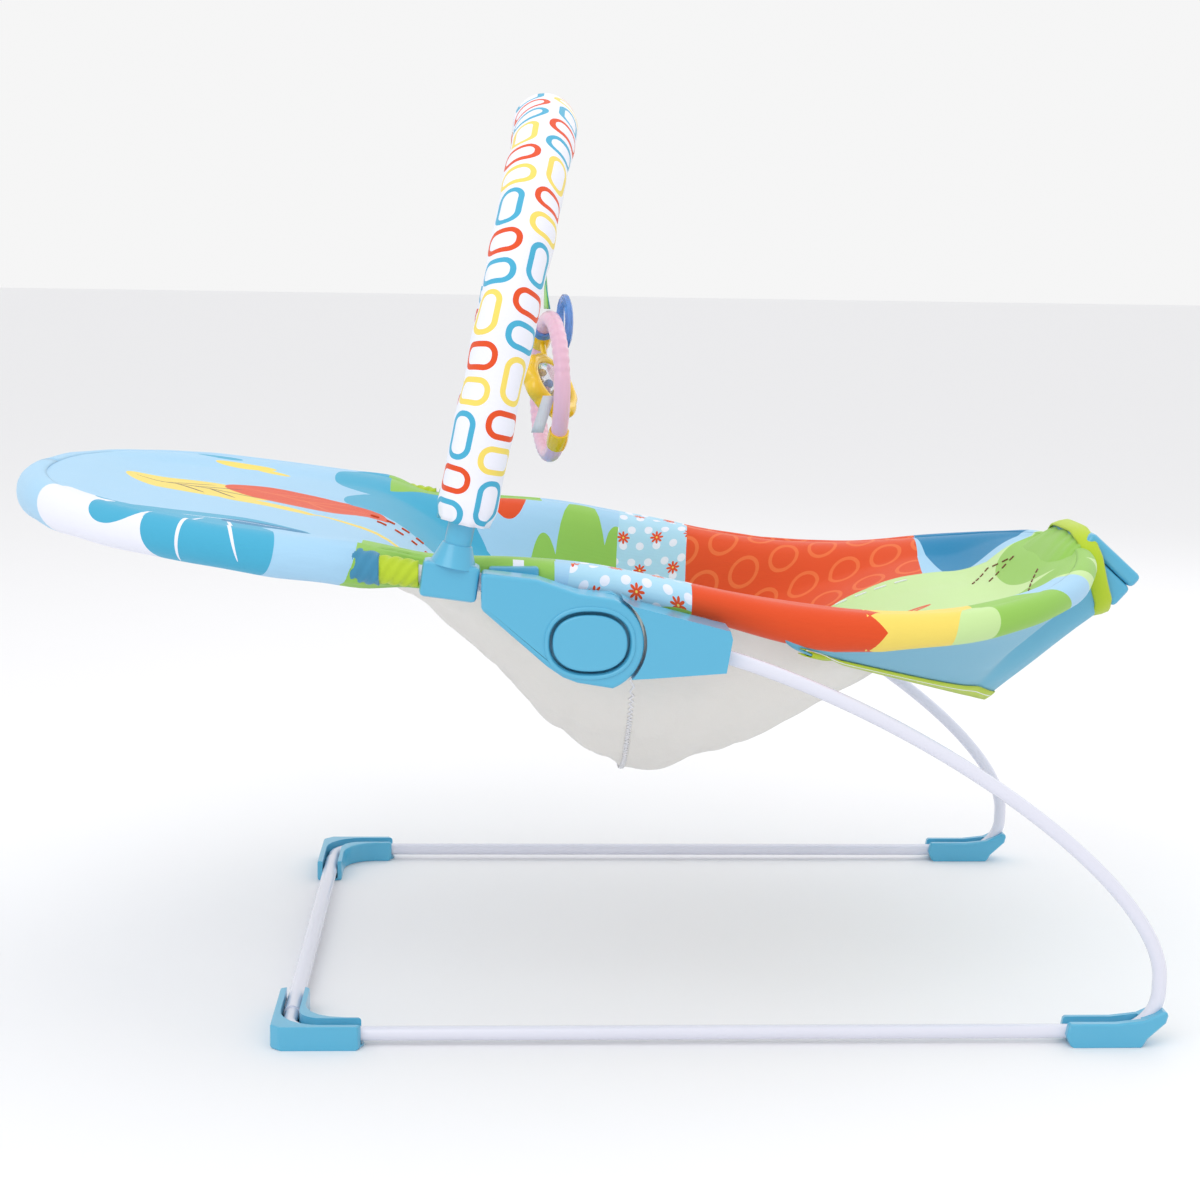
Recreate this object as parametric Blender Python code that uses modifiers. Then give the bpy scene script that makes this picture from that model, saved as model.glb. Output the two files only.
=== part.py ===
"""Baby bouncer seat: a wire-like base frame, two lock hubs, a U-framed fabric seat, a toy bar and a
vibration unit.  Metres, +Z up, +X towards the baby's feet, Y = 0 is the plane of symmetry.
The floor is Z = 0.  "right" is the -Y side and "left" is the +Y side."""

import math

import bmesh
import bpy
from mathutils import Matrix, Vector

# ---------------------------------------------------------------- driving dimensions (metres)
GAP = 0.0003                 # running gap between touching pieces
TRACK = 0.220                # side frames lie in the planes Y = +/-TRACK

BASE_R = 0.0047              # base tube radius
RAIL_Z = 0.0080              # height of the floor rails' centre line
REAR_X = -0.2015             # rear crossbar's centre line
FRONT_X = 0.3675             # foremost point of the base tube's centre line
FRONT_BEND_R = 0.0275
REAR_BEND_R = 0.0220
LEG_TOP = (0.0338, 0.2673)   # end of the leg inside its socket (X, Z)
LEG_FOOT = (FRONT_X, 0.0435) # where the leg has turned upright (X, Z)
LEG_PULLS = (0.149, 0.0683)  # Bezier handle lengths at the top and at the foot
LEG_SLOPE = math.radians(11.0)
CROSSBAR_R = 0.0058
CROSSBAR_HALF = 0.183
FOOT_HEIGHT = 0.0160
STUB_END = 0.160             # the side tubes' stubs reach in to |Y| = STUB_END

PIVOT = (-0.0073, 0.2668)    # hinge axis of the hubs (X, Z)
DISC_R = 0.0310              # the arm's round end
POCKET_R = 0.0313
TONGUE_R = 0.0290
COVER_OUT = 0.2365           # outer face of the arm covers, |Y|
COVER_IN = 0.2035            # inner face of the arm covers, |Y|
SOCKET_HALF = 0.0155         # half the leg socket's width
TONGUE_HALF = 0.0050
BUTTON_AXES = (0.0242, 0.0187)
BUTTON_POST_X = 0.0105
GEAR_TEETH = 8

SEAT_R = 0.0060              # seat tube radius
BACK_SLOPE = 0.130           # rise of the back tube per metre towards the head
BACK_REF = (-0.117, 0.3078)  # a point of the back tube's centre line (X, Z)
BACK_END_X = -0.050          # end of the back tube inside the arm
HEAD_CENTRE_X = -0.215       # centre of the head end's curve
HEAD_TIP_X = -0.389          # foremost point of the head end's tube
FRONT_Y = 0.190              # half width of the front tube
FRONT_START_X = -0.070
FRONT_CURVE_X = 0.150
FRONT_TIP_X = 0.3539
FRONT_ROUND = 0.6            # below 1 the front end is squarer than an ellipse
FRONT_LOW_Z = 0.2690         # lowest height of the front tube
FRONT_RISE = 0.0284          # its rise towards the front end

LEAN = math.radians(12.0)    # the toy bar leans towards the feet
ARCH_BASE = (-0.098, 0.3054)
ARCH_R = 0.220
ARCH_RISE = 0.078            # straight part of the toy bar above ARCH_BASE
TOY_ROD_R = 0.0040
STEM_R = 0.0085
STEM_TOP = 0.036
SLEEVE_START = 0.0375

TOY_X = -0.031               # the hanging toy's vertical line
TOY_Z = 0.4135               # centre of the toy ring
TOY_TURN = math.radians(9.0) # the ring's face is turned this far from +X
RIBBON_TOP = 0.5730
RING_R = 0.0485
RING_TUBE_R = 0.0060
AXLE_TILT = math.radians(45.0)
RATTLE_SPIN = math.radians(50.0)
BLUE_CENTRE = (0.0125, 0.010, 0.046)    # in the toy ring's own frame
BLUE_R = 0.0175
BLUE_TUBE_R = 0.0030
RATTLE_R = 0.0225
WINDOW_R = 0.0175

UNIT_TOP = (0.3602, 0.3168)  # rear upper edge of the vibration unit's face (X, Z)
UNIT_SLOPE = math.radians(-41.7)
UNIT_LENGTH = 0.0496
UNIT_HALF_WIDTH = 0.044
UNIT_DEPTH = 0.0295

SKIRT_LOW = (0.2965, 0.1870)  # low point of the skirt on the middle plane (X, Z)
SKIRT_FRONT = (0.3640, 0.2470)
SKIRT_STEPS = 14

COLOURS = {
    "tube_white": ((0.80, 0.80, 0.86), 0.35, 0.2),
    "steel": ((0.60, 0.61, 0.63), 0.35, 1.0),
    "plastic_blue": ((0.10, 0.46, 0.68), 0.25, 0.0),
    "plastic_dark": ((0.05, 0.06, 0.07), 0.5, 0.0),
    "plastic_white": ((0.85, 0.86, 0.88), 0.3, 0.0),
    "cover_print": ((0.36, 0.68, 0.85), 0.8, 0.0),
    "cover_green": ((0.50, 0.70, 0.25), 0.8, 0.0),
    "liner_white": ((0.74, 0.74, 0.76), 0.9, 0.0),
    "skirt_blue": ((0.16, 0.42, 0.58), 0.8, 0.0),
    "binding_lime": ((0.50, 0.66, 0.06), 0.7, 0.0),
    "sleeve_print": ((0.86, 0.86, 0.86), 0.8, 0.0),
    "ribbon_teal": ((0.05, 0.55, 0.50), 0.7, 0.0),
    "toy_pink": ((0.90, 0.50, 0.60), 0.35, 0.0),
    "toy_blue": ((0.10, 0.40, 0.80), 0.2, 0.0),
    "toy_yellow": ((0.90, 0.62, 0.05), 0.3, 0.0),
    "clear": ((0.85, 0.90, 0.92), 0.05, 0.0),
    "webbing": ((0.80, 0.80, 0.80), 0.8, 0.0),
    "battery_foil": ((0.55, 0.12, 0.08), 0.4, 0.3),
}

# ---------------------------------------------------------------- scene and helpers
for old in list(bpy.data.objects):
    bpy.data.objects.remove(old)

parts = bpy.data.collections.new("bouncer_seat")
cutters = bpy.data.collections.new("cutters")
bpy.context.scene.collection.children.link(parts)
bpy.context.scene.collection.children.link(cutters)


def material(name):
    found = bpy.data.materials.get(name)
    if found:
        return found
    colour, roughness, metallic = COLOURS[name]
    made = bpy.data.materials.new(name)
    made.use_nodes = True
    shader = made.node_tree.nodes["Principled BSDF"]
    shader.inputs["Base Color"].default_value = (*colour, 1.0)
    shader.inputs["Roughness"].default_value = roughness
    shader.inputs["Metallic"].default_value = metallic
    return made


def add_part(obj, name, slot, smooth=35):
    """Names the object, gives it its material and puts it with the parts."""
    obj.name = name
    obj.data.name = name
    obj.data.materials.clear()
    obj.data.materials.append(material(slot))
    for home in list(obj.users_collection):
        home.objects.unlink(obj)
    parts.objects.link(obj)
    if obj.type == "MESH" and smooth:
        obj.data.shade_smooth()
        obj.data.set_sharp_from_angle(angle=math.radians(smooth))
    return obj


def mesh_object(name, bm):
    data = bpy.data.meshes.new(name)
    bmesh.ops.recalc_face_normals(bm, faces=bm.faces)
    bm.to_mesh(data)
    bm.free()
    obj = bpy.data.objects.new(name, data)
    bpy.context.scene.collection.objects.link(obj)
    return obj


def curve_mesh(curve):
    """Turns a curve object into a mesh object with its caps welded on."""
    bpy.context.view_layer.update()
    graph = bpy.context.evaluated_depsgraph_get()
    data = bpy.data.meshes.new_from_object(curve.evaluated_get(graph))
    bm = bmesh.new()
    bm.from_mesh(data)
    bmesh.ops.remove_doubles(bm, verts=bm.verts, dist=0.00001)
    bmesh.ops.recalc_face_normals(bm, faces=bm.faces)
    bm.to_mesh(data)
    bm.free()
    obj = bpy.data.objects.new(curve.name, data)
    obj.matrix_world = curve.matrix_world
    bpy.context.scene.collection.objects.link(obj)
    bpy.data.objects.remove(curve)
    return obj


def tube(name, points, radius, resolution=2, cyclic=False, radii=None):
    """A round bar along the points, as a mesh with flat ends."""
    data = bpy.data.curves.new(name, "CURVE")
    data.dimensions = "3D"
    data.bevel_depth = radius
    data.bevel_resolution = resolution
    data.use_fill_caps = True
    spline = data.splines.new("POLY")
    spline.points.add(len(points) - 1)
    for i, point in enumerate(points):
        spline.points[i].co = (*point, 1.0)
        spline.points[i].radius = radii[i] if radii else 1.0
    spline.use_cyclic_u = cyclic
    obj = bpy.data.objects.new(name, data)
    bpy.context.scene.collection.objects.link(obj)
    return curve_mesh(obj)


def plate(name, outline, y_low, y_high, bevel=0.0, segments=1):
    """An XZ outline with thickness along Y."""
    data = bpy.data.curves.new(name, "CURVE")
    data.dimensions = "2D"
    data.fill_mode = "BOTH"
    data.extrude = (y_high - y_low) / 2
    spline = data.splines.new("POLY")
    spline.points.add(len(outline) - 1)
    for i, (x, z) in enumerate(outline):
        spline.points[i].co = (x, z, 0.0, 1.0)
    spline.use_cyclic_u = True
    obj = bpy.data.objects.new(name, data)
    obj.rotation_euler = (math.pi / 2, 0, 0)
    obj.location = (0, (y_low + y_high) / 2, 0)
    bpy.context.scene.collection.objects.link(obj)
    made = curve_mesh(obj)
    bake(made)
    if bevel:
        round_edges(made, bevel, segments)
    return made


def bake(obj):
    """Moves the object's transform into its mesh."""
    bpy.context.view_layer.update()
    obj.data.transform(obj.matrix_world)
    obj.matrix_world = Matrix.Identity(4)
    return obj


def round_edges(obj, width, segments=2, angle=40):
    modifier = obj.modifiers.new("round", "BEVEL")
    modifier.width = width
    modifier.segments = segments
    modifier.limit_method = "ANGLE"
    modifier.angle_limit = math.radians(angle)
    return apply_modifiers(obj)


def apply_modifiers(obj):
    bpy.context.view_layer.update()
    graph = bpy.context.evaluated_depsgraph_get()
    data = bpy.data.meshes.new_from_object(obj.evaluated_get(graph))
    obj.modifiers.clear()
    obj.data = data
    return obj


def cylinder(name, start, end, radius, sides=24, end_radius=None):
    """A cylinder or cone between two points."""
    start, end = Vector(start), Vector(end)
    bm = bmesh.new()
    bmesh.ops.create_cone(bm, cap_ends=True, segments=sides, radius1=radius,
                          radius2=radius if end_radius is None else end_radius,
                          depth=(end - start).length)
    turn = (end - start).to_track_quat("Z", "Y").to_matrix().to_4x4()
    bmesh.ops.transform(bm, matrix=Matrix.Translation((start + end) / 2) @ turn, verts=bm.verts)
    return mesh_object(name, bm)


def block(name, low, high, bevel=0.0, segments=2, matrix=None):
    """A box between two corners, with rounded edges if a bevel is given."""
    low, high = Vector(low), Vector(high)
    bm = bmesh.new()
    bmesh.ops.create_cube(bm, size=1.0)
    bmesh.ops.scale(bm, vec=high - low, verts=bm.verts)
    bmesh.ops.translate(bm, vec=(low + high) / 2, verts=bm.verts)
    obj = mesh_object(name, bm)
    if bevel:
        round_edges(obj, bevel, segments)
    if matrix is not None:
        obj.data.transform(matrix)
    return obj


def boolean(obj, tool, operation="DIFFERENCE"):
    """Cuts or joins with an exact Boolean, then puts the tool away."""
    for home in list(tool.users_collection):
        home.objects.unlink(tool)
    cutters.objects.link(tool)
    tool.hide_render = True
    tool.display_type = "WIRE"
    modifier = obj.modifiers.new("cut", "BOOLEAN")
    modifier.operation = operation
    modifier.object = tool
    apply_modifiers(obj)
    bpy.data.objects.remove(tool)
    return obj


def arc(centre, radius, start, end, steps):
    """Points on a circle, angles in degrees, both ends included."""
    angles = [math.radians(start + (end - start) * i / steps) for i in range(steps + 1)]
    return [(centre[0] + radius * math.cos(a), centre[1] + radius * math.sin(a)) for a in angles]


def bezier(p0, p1, p2, p3, steps):
    points = []
    for i in range(steps + 1):
        t = i / steps
        w = ((1 - t) ** 3, 3 * (1 - t) ** 2 * t, 3 * (1 - t) * t ** 2, t ** 3)
        points.append(tuple(sum(k * p[n] for k, p in zip(w, (p0, p1, p2, p3))) for n in range(len(p0))))
    return points


def smooth_step(t):
    t = min(1.0, max(0.0, t))
    return t * t * (3 - 2 * t)


def shell(name, rows, thickness, offset=-1.0):
    """A thin closed sheet from rows of points, thickened by Solidify."""
    bm = bmesh.new()
    grid = [[bm.verts.new(p) for p in row] for row in rows]
    for near, far in zip(grid, grid[1:]):
        for i in range(len(near) - 1):
            bm.faces.new((near[i], near[i + 1], far[i + 1], far[i]))
    obj = mesh_object(name, bm)
    modifier = obj.modifiers.new("thickness", "SOLIDIFY")
    modifier.thickness = thickness
    modifier.offset = offset
    return apply_modifiers(obj)


SIDES = (("right", -1), ("left", 1))


def span(side, low, high):
    """Sorted Y limits on one side, from distances to the middle plane."""
    return (min(side * low, side * high), max(side * low, side * high))


# ---------------------------------------------------------------- base frame
def leg_points(steps=15):
    """The leg's curve in XZ, from its socket down to the upright end."""
    top_pull = (LEG_TOP[0] + LEG_PULLS[0] * math.cos(LEG_SLOPE),
                LEG_TOP[1] - LEG_PULLS[0] * math.sin(LEG_SLOPE))
    foot_pull = (LEG_FOOT[0], LEG_FOOT[1] + LEG_PULLS[1])
    return bezier(LEG_TOP, top_pull, foot_pull, LEG_FOOT, steps)


def front_bend_points():
    centre = (FRONT_X - FRONT_BEND_R, RAIL_Z + FRONT_BEND_R)
    return arc(centre, FRONT_BEND_R, 0, -90, 6)


def side_tube_path(side):
    path = [(x, side * TRACK, z) for x, z in leg_points() + front_bend_points()]
    corner = (REAR_X + REAR_BEND_R, side * (TRACK - REAR_BEND_R))
    for x, y in arc(corner, REAR_BEND_R, 90 * side, 90 * side + 90 * side, 6):
        path.append((x, y, RAIL_Z))
    path.append((REAR_X, side * STUB_END, RAIL_Z))
    return path


def base_frame():
    for word, side in SIDES:
        add_part(tube("side", side_tube_path(side), BASE_R), f"side_tube_{word}", "tube_white")
    bar = cylinder("bar", (REAR_X, -CROSSBAR_HALF, RAIL_Z), (REAR_X, CROSSBAR_HALF, RAIL_Z), CROSSBAR_R)
    bore = cylinder("bore", (REAR_X, -0.3, RAIL_Z), (REAR_X, 0.3, RAIL_Z), BASE_R + GAP)
    add_part(boolean(bar, bore), "rear_crossbar", "tube_white")


def slab(name, outline, z_low, z_high, bevel=0.0):
    """A plan outline (X, Y) with thickness along Z."""
    made = plate(name, [(x, -y) for x, y in outline], z_low, z_high)
    made.data.transform(Matrix.Rotation(math.pi / 2, 4, "X"))
    if bevel:
        round_edges(made, bevel)
    return made


def corner_outline(side, outer, inner, x_end, y_end):
    """An L in plan round the rear corner, with pointed ends and a concave gusset inside."""
    chevron = 0.004
    outline = [(REAR_X - outer, TRACK + outer - 0.006), (REAR_X - outer + 0.006, TRACK + outer),
               (x_end - chevron, TRACK + outer), (x_end, TRACK), (x_end - chevron, TRACK - inner)]
    gusset = 0.026
    centre = (REAR_X + inner + gusset, TRACK - inner - gusset)
    outline += arc(centre, gusset, 90, 180, 5)
    outline += [(REAR_X + inner, y_end + chevron), (REAR_X, y_end), (REAR_X - outer, y_end + chevron)]
    return [(x, side * y) for x, y in outline]


def channel_outline(side, width):
    """The plan band that the tube's corner needs, open past both ends of the foot."""
    centre = (REAR_X + REAR_BEND_R, TRACK - REAR_BEND_R)
    outline = [(REAR_X + 0.09, TRACK + width)]
    outline += arc(centre, REAR_BEND_R + width, 90, 180, 6)
    outline += [(REAR_X - width, 0.12), (REAR_X + width, 0.12)]
    outline += arc(centre, REAR_BEND_R - width, 180, 90, 6)
    outline += [(REAR_X + 0.09, TRACK - width)]
    return [(x, side * y) for x, y in outline]


def rear_foot(word, side):
    """An L-shaped channel that the frame's rear corner is pressed into."""
    foot = slab("foot", corner_outline(side, 0.0105, 0.0095, REAR_X + 0.050, TRACK - 0.070), 0, FOOT_HEIGHT, 0.0015)
    width = CROSSBAR_R + GAP
    boolean(foot, slab("channel", channel_outline(side, width), RAIL_Z - width, 0.05))
    return add_part(foot, f"rear_foot_{word}", "plastic_blue")


def front_foot(word, side):
    """A channel on the rail's front end that hooks up round the bend to a pointed toe."""
    outline = [(FRONT_X - 0.059, 0), (FRONT_X - 0.012, 0), (FRONT_X - 0.009, 0.0055), (FRONT_X + 0.0030, 0.0165),
               (FRONT_X + 0.0045, 0.0225), (FRONT_X + 0.0020, 0.0245), (FRONT_X - 0.012, 0.0180),
               (FRONT_X - 0.030, FOOT_HEIGHT), (FRONT_X - 0.061, FOOT_HEIGHT), (FRONT_X - 0.0625, 0.008)]
    foot = plate("foot", outline, *span(side, TRACK - 0.0095, TRACK + 0.0105), bevel=0.0012)
    clear = BASE_R + GAP
    path = [(x, side * TRACK, z) for x, z in [LEG_FOOT] + front_bend_points()]
    path.append((FRONT_X - 0.12, side * TRACK, RAIL_Z))
    boolean(foot, tube("channel", path, clear))
    low_y, high_y = span(side, TRACK - clear, TRACK + clear)
    boolean(foot, block("slot", (FRONT_X - 0.12, low_y, RAIL_Z), (FRONT_X - 0.012, high_y, 0.05)))
    return add_part(foot, f"front_foot_{word}", "plastic_blue")


# ---------------------------------------------------------------- lock hubs
def round_y(name, side, radius, low, high, centre=PIVOT, sides=24):
    """A cylinder along Y on one side of the seat."""
    start, end = span(side, low, high)
    return cylinder(name, (centre[0], start, centre[1]), (centre[0], end, centre[1]), radius, sides)


def toothed(name, side, root, tip, low, high):
    """A gear blank along Y with GEAR_TEETH straight-flanked teeth."""
    outline = []
    pitch = 360 / GEAR_TEETH
    for i in range(GEAR_TEETH):
        for share, radius in ((-0.34, root), (-0.20, tip), (0.20, tip), (0.34, root)):
            angle = math.radians((i + share) * pitch)
            outline.append((PIVOT[0] + radius * math.cos(angle), PIVOT[1] + radius * math.sin(angle)))
    return plate(name, outline, *span(side, low, high))


def oval(name, side, axes, low, high, bevel=0.0):
    """The push button's outline, a plain oval round the pivot, set back 3 mm."""
    outline = [(PIVOT[0] - 0.0032 + x * axes[0], PIVOT[1] + 0.0005 + z * axes[1])
               for x, z in arc((0, 0), 1.0, 0, 348.75, 31)]
    return plate(name, outline, *span(side, low, high), bevel=bevel)


def leg_socket(word, side):
    """The leg's housing with the tongue that turns between the arm's covers."""
    outline = [(0.0165, 0.2905), (0.0775, 0.2752), (0.0790, 0.2700), (0.0755, 0.2485)]
    outline += arc(PIVOT, DISC_R + 0.0005, -49, 58, 8)
    socket = plate("socket", outline, *span(side, TRACK - SOCKET_HALF, TRACK + SOCKET_HALF), bevel=0.0022)
    tongue = round_y("tongue", side, TONGUE_R, TRACK - TONGUE_HALF, TRACK + TONGUE_HALF, sides=20)
    boolean(socket, tongue, "UNION")
    low_y, high_y = span(side, TRACK - TONGUE_HALF, TRACK + TONGUE_HALF)
    boolean(socket, block("neck", (0.012, low_y, 0.2530), (0.035, high_y, 0.2815)), "UNION")
    boolean(socket, toothed("teeth", side, 0.0166, 0.0185, TRACK - 0.02, TRACK + 0.02))
    start = Vector((LEG_TOP[0] - 0.0015, side * TRACK, LEG_TOP[1] + 0.0004))
    path = [start] + [(x, side * TRACK, z) for x, z in leg_points()[:7]]
    boolean(socket, tube("bore", path, BASE_R + GAP))
    hole = (0.0560, 0.2620)
    boolean(socket, round_y("hole", side, 0.0020, TRACK + BASE_R, TRACK + 0.02, hole, 10))
    return add_part(socket, f"leg_socket_{word}", "plastic_blue")


ARM_OUTLINE = ([(-0.0785, 0.3062), (-0.0785, 0.2878), (-0.0370, 0.2520), (-0.0270, 0.2452), (-0.0110, 0.2410)]
               + arc(PIVOT, DISC_R, -54, 68, 10) + [(-0.0180, 0.2972), (-0.0450, 0.3008)])


def back_tube_z(x):
    return BACK_REF[1] + BACK_SLOPE * (BACK_REF[0] - x)


def back_tube_points(steps=20):
    """The head end's U, from the right arm round to the left arm."""
    plan = []
    for i in range(steps + 1):
        angle = math.pi * (i / steps - 0.5)
        reach = abs(math.cos(angle)) ** 0.9
        across = math.copysign(abs(math.sin(angle)) ** 0.9, math.sin(angle))
        plan.append((HEAD_CENTRE_X - (HEAD_CENTRE_X - HEAD_TIP_X) * reach, across * TRACK))
    ends = [(-0.165, -TRACK), (-0.117, -TRACK), (BACK_END_X, -TRACK)]
    plan = ends[::-1] + plan + [(x, -y) for x, y in ends]
    return [(x, y, back_tube_z(x)) for x, y in plan]


def front_tube_z(x):
    rise = max(0.0, (x - 0.2) / 0.155)
    return FRONT_LOW_Z + 0.0345 * (1 - smooth_step((x + 0.07) / 0.26)) + FRONT_RISE * rise ** 2


def front_half_width(x):
    """Half width of the front tube's U at X."""
    t = max(0.0, (x - FRONT_CURVE_X) / (FRONT_TIP_X - FRONT_CURVE_X))
    return FRONT_Y * math.sqrt(max(0.0, 1 - min(1.0, t) ** (2 / FRONT_ROUND)))


def front_tube_points():
    plan = [(FRONT_START_X + i * 0.044, -FRONT_Y) for i in range(5)]
    for i in range(1, 18):
        angle = math.pi * (i / 18 - 0.5)
        reach = abs(math.cos(angle)) ** FRONT_ROUND
        across = math.copysign(abs(math.sin(angle)), math.sin(angle))
        plan.append((FRONT_CURVE_X + (FRONT_TIP_X - FRONT_CURVE_X) * reach, across * FRONT_Y))
    plan += [(FRONT_START_X + (4 - i) * 0.044, FRONT_Y) for i in range(5)]
    return [(x, y, front_tube_z(x)) for x, y in plan]


def arm_cover(word, side, kind):
    """Half of the seat arm's housing, split on the side frame's plane."""
    half = ((TRACK + 0.0002, COVER_OUT) if kind == "outer" else (COVER_IN, TRACK - 0.0002))
    cover = plate("cover", ARM_OUTLINE, *span(side, *half), bevel=0.0020)
    if kind == "inner":
        boolean(cover, round_y("boss", side, 0.0185, 0.1965, 0.2040), "UNION")
        low_y, high_y = span(side, FRONT_Y - 0.009, COVER_IN + 0.001)
        lug_z = front_tube_z(-0.05)
        lug = block("lug", (-0.0740, low_y, lug_z - 0.009), (-0.0420, high_y, lug_z + 0.0075), 0.002)
        boolean(cover, lug, "UNION")
        path = [(x, side * FRONT_Y, z) for x, _, z in front_tube_points()[:3]]
        path[0] = (FRONT_START_X - GAP, side * FRONT_Y, front_tube_z(FRONT_START_X))
        boolean(cover, tube("bore", path, SEAT_R + 2 * GAP, resolution=4))
    pocket = round_y("pocket", side, POCKET_R, TRACK - TONGUE_HALF - GAP, TRACK + TONGUE_HALF + GAP, sides=24)
    boolean(cover, pocket)
    path = [(x, side * TRACK, back_tube_z(x)) for x in (BACK_END_X + GAP, -0.12)]
    boolean(cover, tube("bore", path, SEAT_R + GAP, resolution=4))
    screw = (-0.0480, 0.2755)
    boolean(cover, round_y("hole", side, 0.0018, COVER_IN - 0.01, TRACK + 0.0100, screw, 10))
    if kind == "outer":
        boolean(cover, oval("button_hole", side, [a + 0.0006 for a in BUTTON_AXES], 0.2280, 0.25))
        boolean(cover, round_y("rivet_hole", side, 0.0033, 0.21, 0.24, sides=12))
        for shift in (-BUTTON_POST_X, BUTTON_POST_X):
            centre = (PIVOT[0] + shift, PIVOT[1])
            boolean(cover, round_y("post_hole", side, 0.0030, 0.21, 0.24, centre, 10))
    else:
        boolean(cover, round_y("gear_pocket", side, 0.0162, 0.2042, 0.2200, sides=16))
        boolean(cover, round_y("spring_pocket", side, 0.0070, 0.1985, 0.2100, sides=12))
        boolean(cover, round_y("rivet_hole", side, 0.0033, 0.19, 0.22, sides=12))
    return add_part(cover, f"arm_{kind}_cover_{word}", "plastic_blue")


def push_button(word, side):
    """The oval release button and the two posts that push the lock gear."""
    button = oval("cap", side, BUTTON_AXES, 0.2335, 0.2378, bevel=0.0012)
    for shift in (-BUTTON_POST_X, BUTTON_POST_X):
        centre = (PIVOT[0] + shift, PIVOT[1])
        boolean(button, round_y("post", side, 0.0025, 0.2143, 0.2345, centre, 8), "UNION")
    return add_part(button, f"push_button_{word}", "plastic_blue")


def lock_gear(word, side):
    gear = toothed("gear", side, 0.0135, 0.0155, 0.2090, 0.2140)
    boolean(gear, round_y("bore", side, 0.0034, 0.20, 0.22, sides=12))
    return add_part(gear, f"lock_gear_{word}", "plastic_white")


def lock_spring(word, side):
    """A compression spring between the gear and the inner cover."""
    turns, steps, radius, wire = 4, 7, 0.0052, 0.0006
    start, end = 0.1992 + wire, 0.2086 - wire
    points = []
    for i in range(turns * steps + 1):
        angle = 2 * math.pi * i / steps
        reach = start + (end - start) * i / (turns * steps)
        points.append((PIVOT[0] + radius * math.cos(angle), side * reach, PIVOT[1] + radius * math.sin(angle)))
    return add_part(tube("spring", points, wire, resolution=0), f"lock_spring_{word}", "steel")


def pivot_rivet(word, side):
    rivet = round_y("shaft", side, 0.0030, 0.1950, 0.2285, sides=12)
    boolean(rivet, round_y("head", side, 0.0050, 0.2282, 0.2292, sides=12), "UNION")
    boolean(rivet, round_y("tail", side, 0.0050, 0.1940, 0.1962, sides=12), "UNION")
    return add_part(rivet, f"pivot_rivet_{word}", "steel")


def arm_screw(word, side):
    centre = (-0.0480, 0.2755)
    screw = round_y("shaft", side, 0.0015, COVER_IN - 0.0008, TRACK + 0.0090, centre, 8)
    boolean(screw, round_y("head", side, 0.0030, COVER_IN - 0.0023, COVER_IN - 0.0004, centre, 10), "UNION")
    return add_part(screw, f"arm_screw_{word}", "steel")


def seat_frame():
    add_part(tube("back", back_tube_points(), SEAT_R), "seat_back_tube", "tube_white")
    add_part(tube("front", front_tube_points(), SEAT_R), "seat_front_tube", "tube_white")


# ---------------------------------------------------------------- toy bar and its brackets
def arch_point(height, across):
    """A point of the leaning toy bar plane."""
    return (ARCH_BASE[0] + math.sin(LEAN) * height, across, ARCH_BASE[1] + math.cos(LEAN) * height)


def arch_points(start, steps=14):
    points = [arch_point(start, -ARCH_R)]
    for i in range(steps + 1):
        angle = math.pi * i / steps
        points.append(arch_point(ARCH_RISE + ARCH_R * math.sin(angle), -ARCH_R * math.cos(angle)))
    points.append(arch_point(start, ARCH_R))
    return points


def toy_bar_bracket(word, side):
    """A saddle on the back tube with an upright stem that holds the toy bar."""
    tilt = Matrix.Rotation(-math.atan(BACK_SLOPE), 4, "Y")
    place = Matrix.Translation((ARCH_BASE[0], side * TRACK, back_tube_z(ARCH_BASE[0]))) @ tilt.inverted()
    saddle = block("saddle", (-0.0180, -0.0105, -0.0125), (0.0180, 0.0105, 0.0105), 0.003, matrix=place)
    low = Vector(arch_point(0.008, side * ARCH_R))
    shoulder = Vector(arch_point(0.022, side * ARCH_R))
    top = Vector(arch_point(STEM_TOP, side * ARCH_R))
    boolean(saddle, cylinder("cone", low, shoulder, 0.0150, 18, STEM_R + 0.0010), "UNION")
    boolean(saddle, cylinder("stem", low, top, STEM_R, 18), "UNION")
    start = Vector((ARCH_BASE[0] - 0.04, side * TRACK, back_tube_z(ARCH_BASE[0] - 0.04)))
    end = Vector((ARCH_BASE[0] + 0.04, side * TRACK, back_tube_z(ARCH_BASE[0] + 0.04)))
    boolean(saddle, cylinder("bore", start, end, SEAT_R + GAP, 16))
    rod_low = Vector(arch_point(0.0105, side * ARCH_R))
    rod_high = Vector(arch_point(0.08, side * ARCH_R))
    boolean(saddle, cylinder("socket", rod_low, rod_high, TOY_ROD_R + GAP, 12))
    return add_part(saddle, f"toy_bar_bracket_{word}", "plastic_blue")


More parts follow.
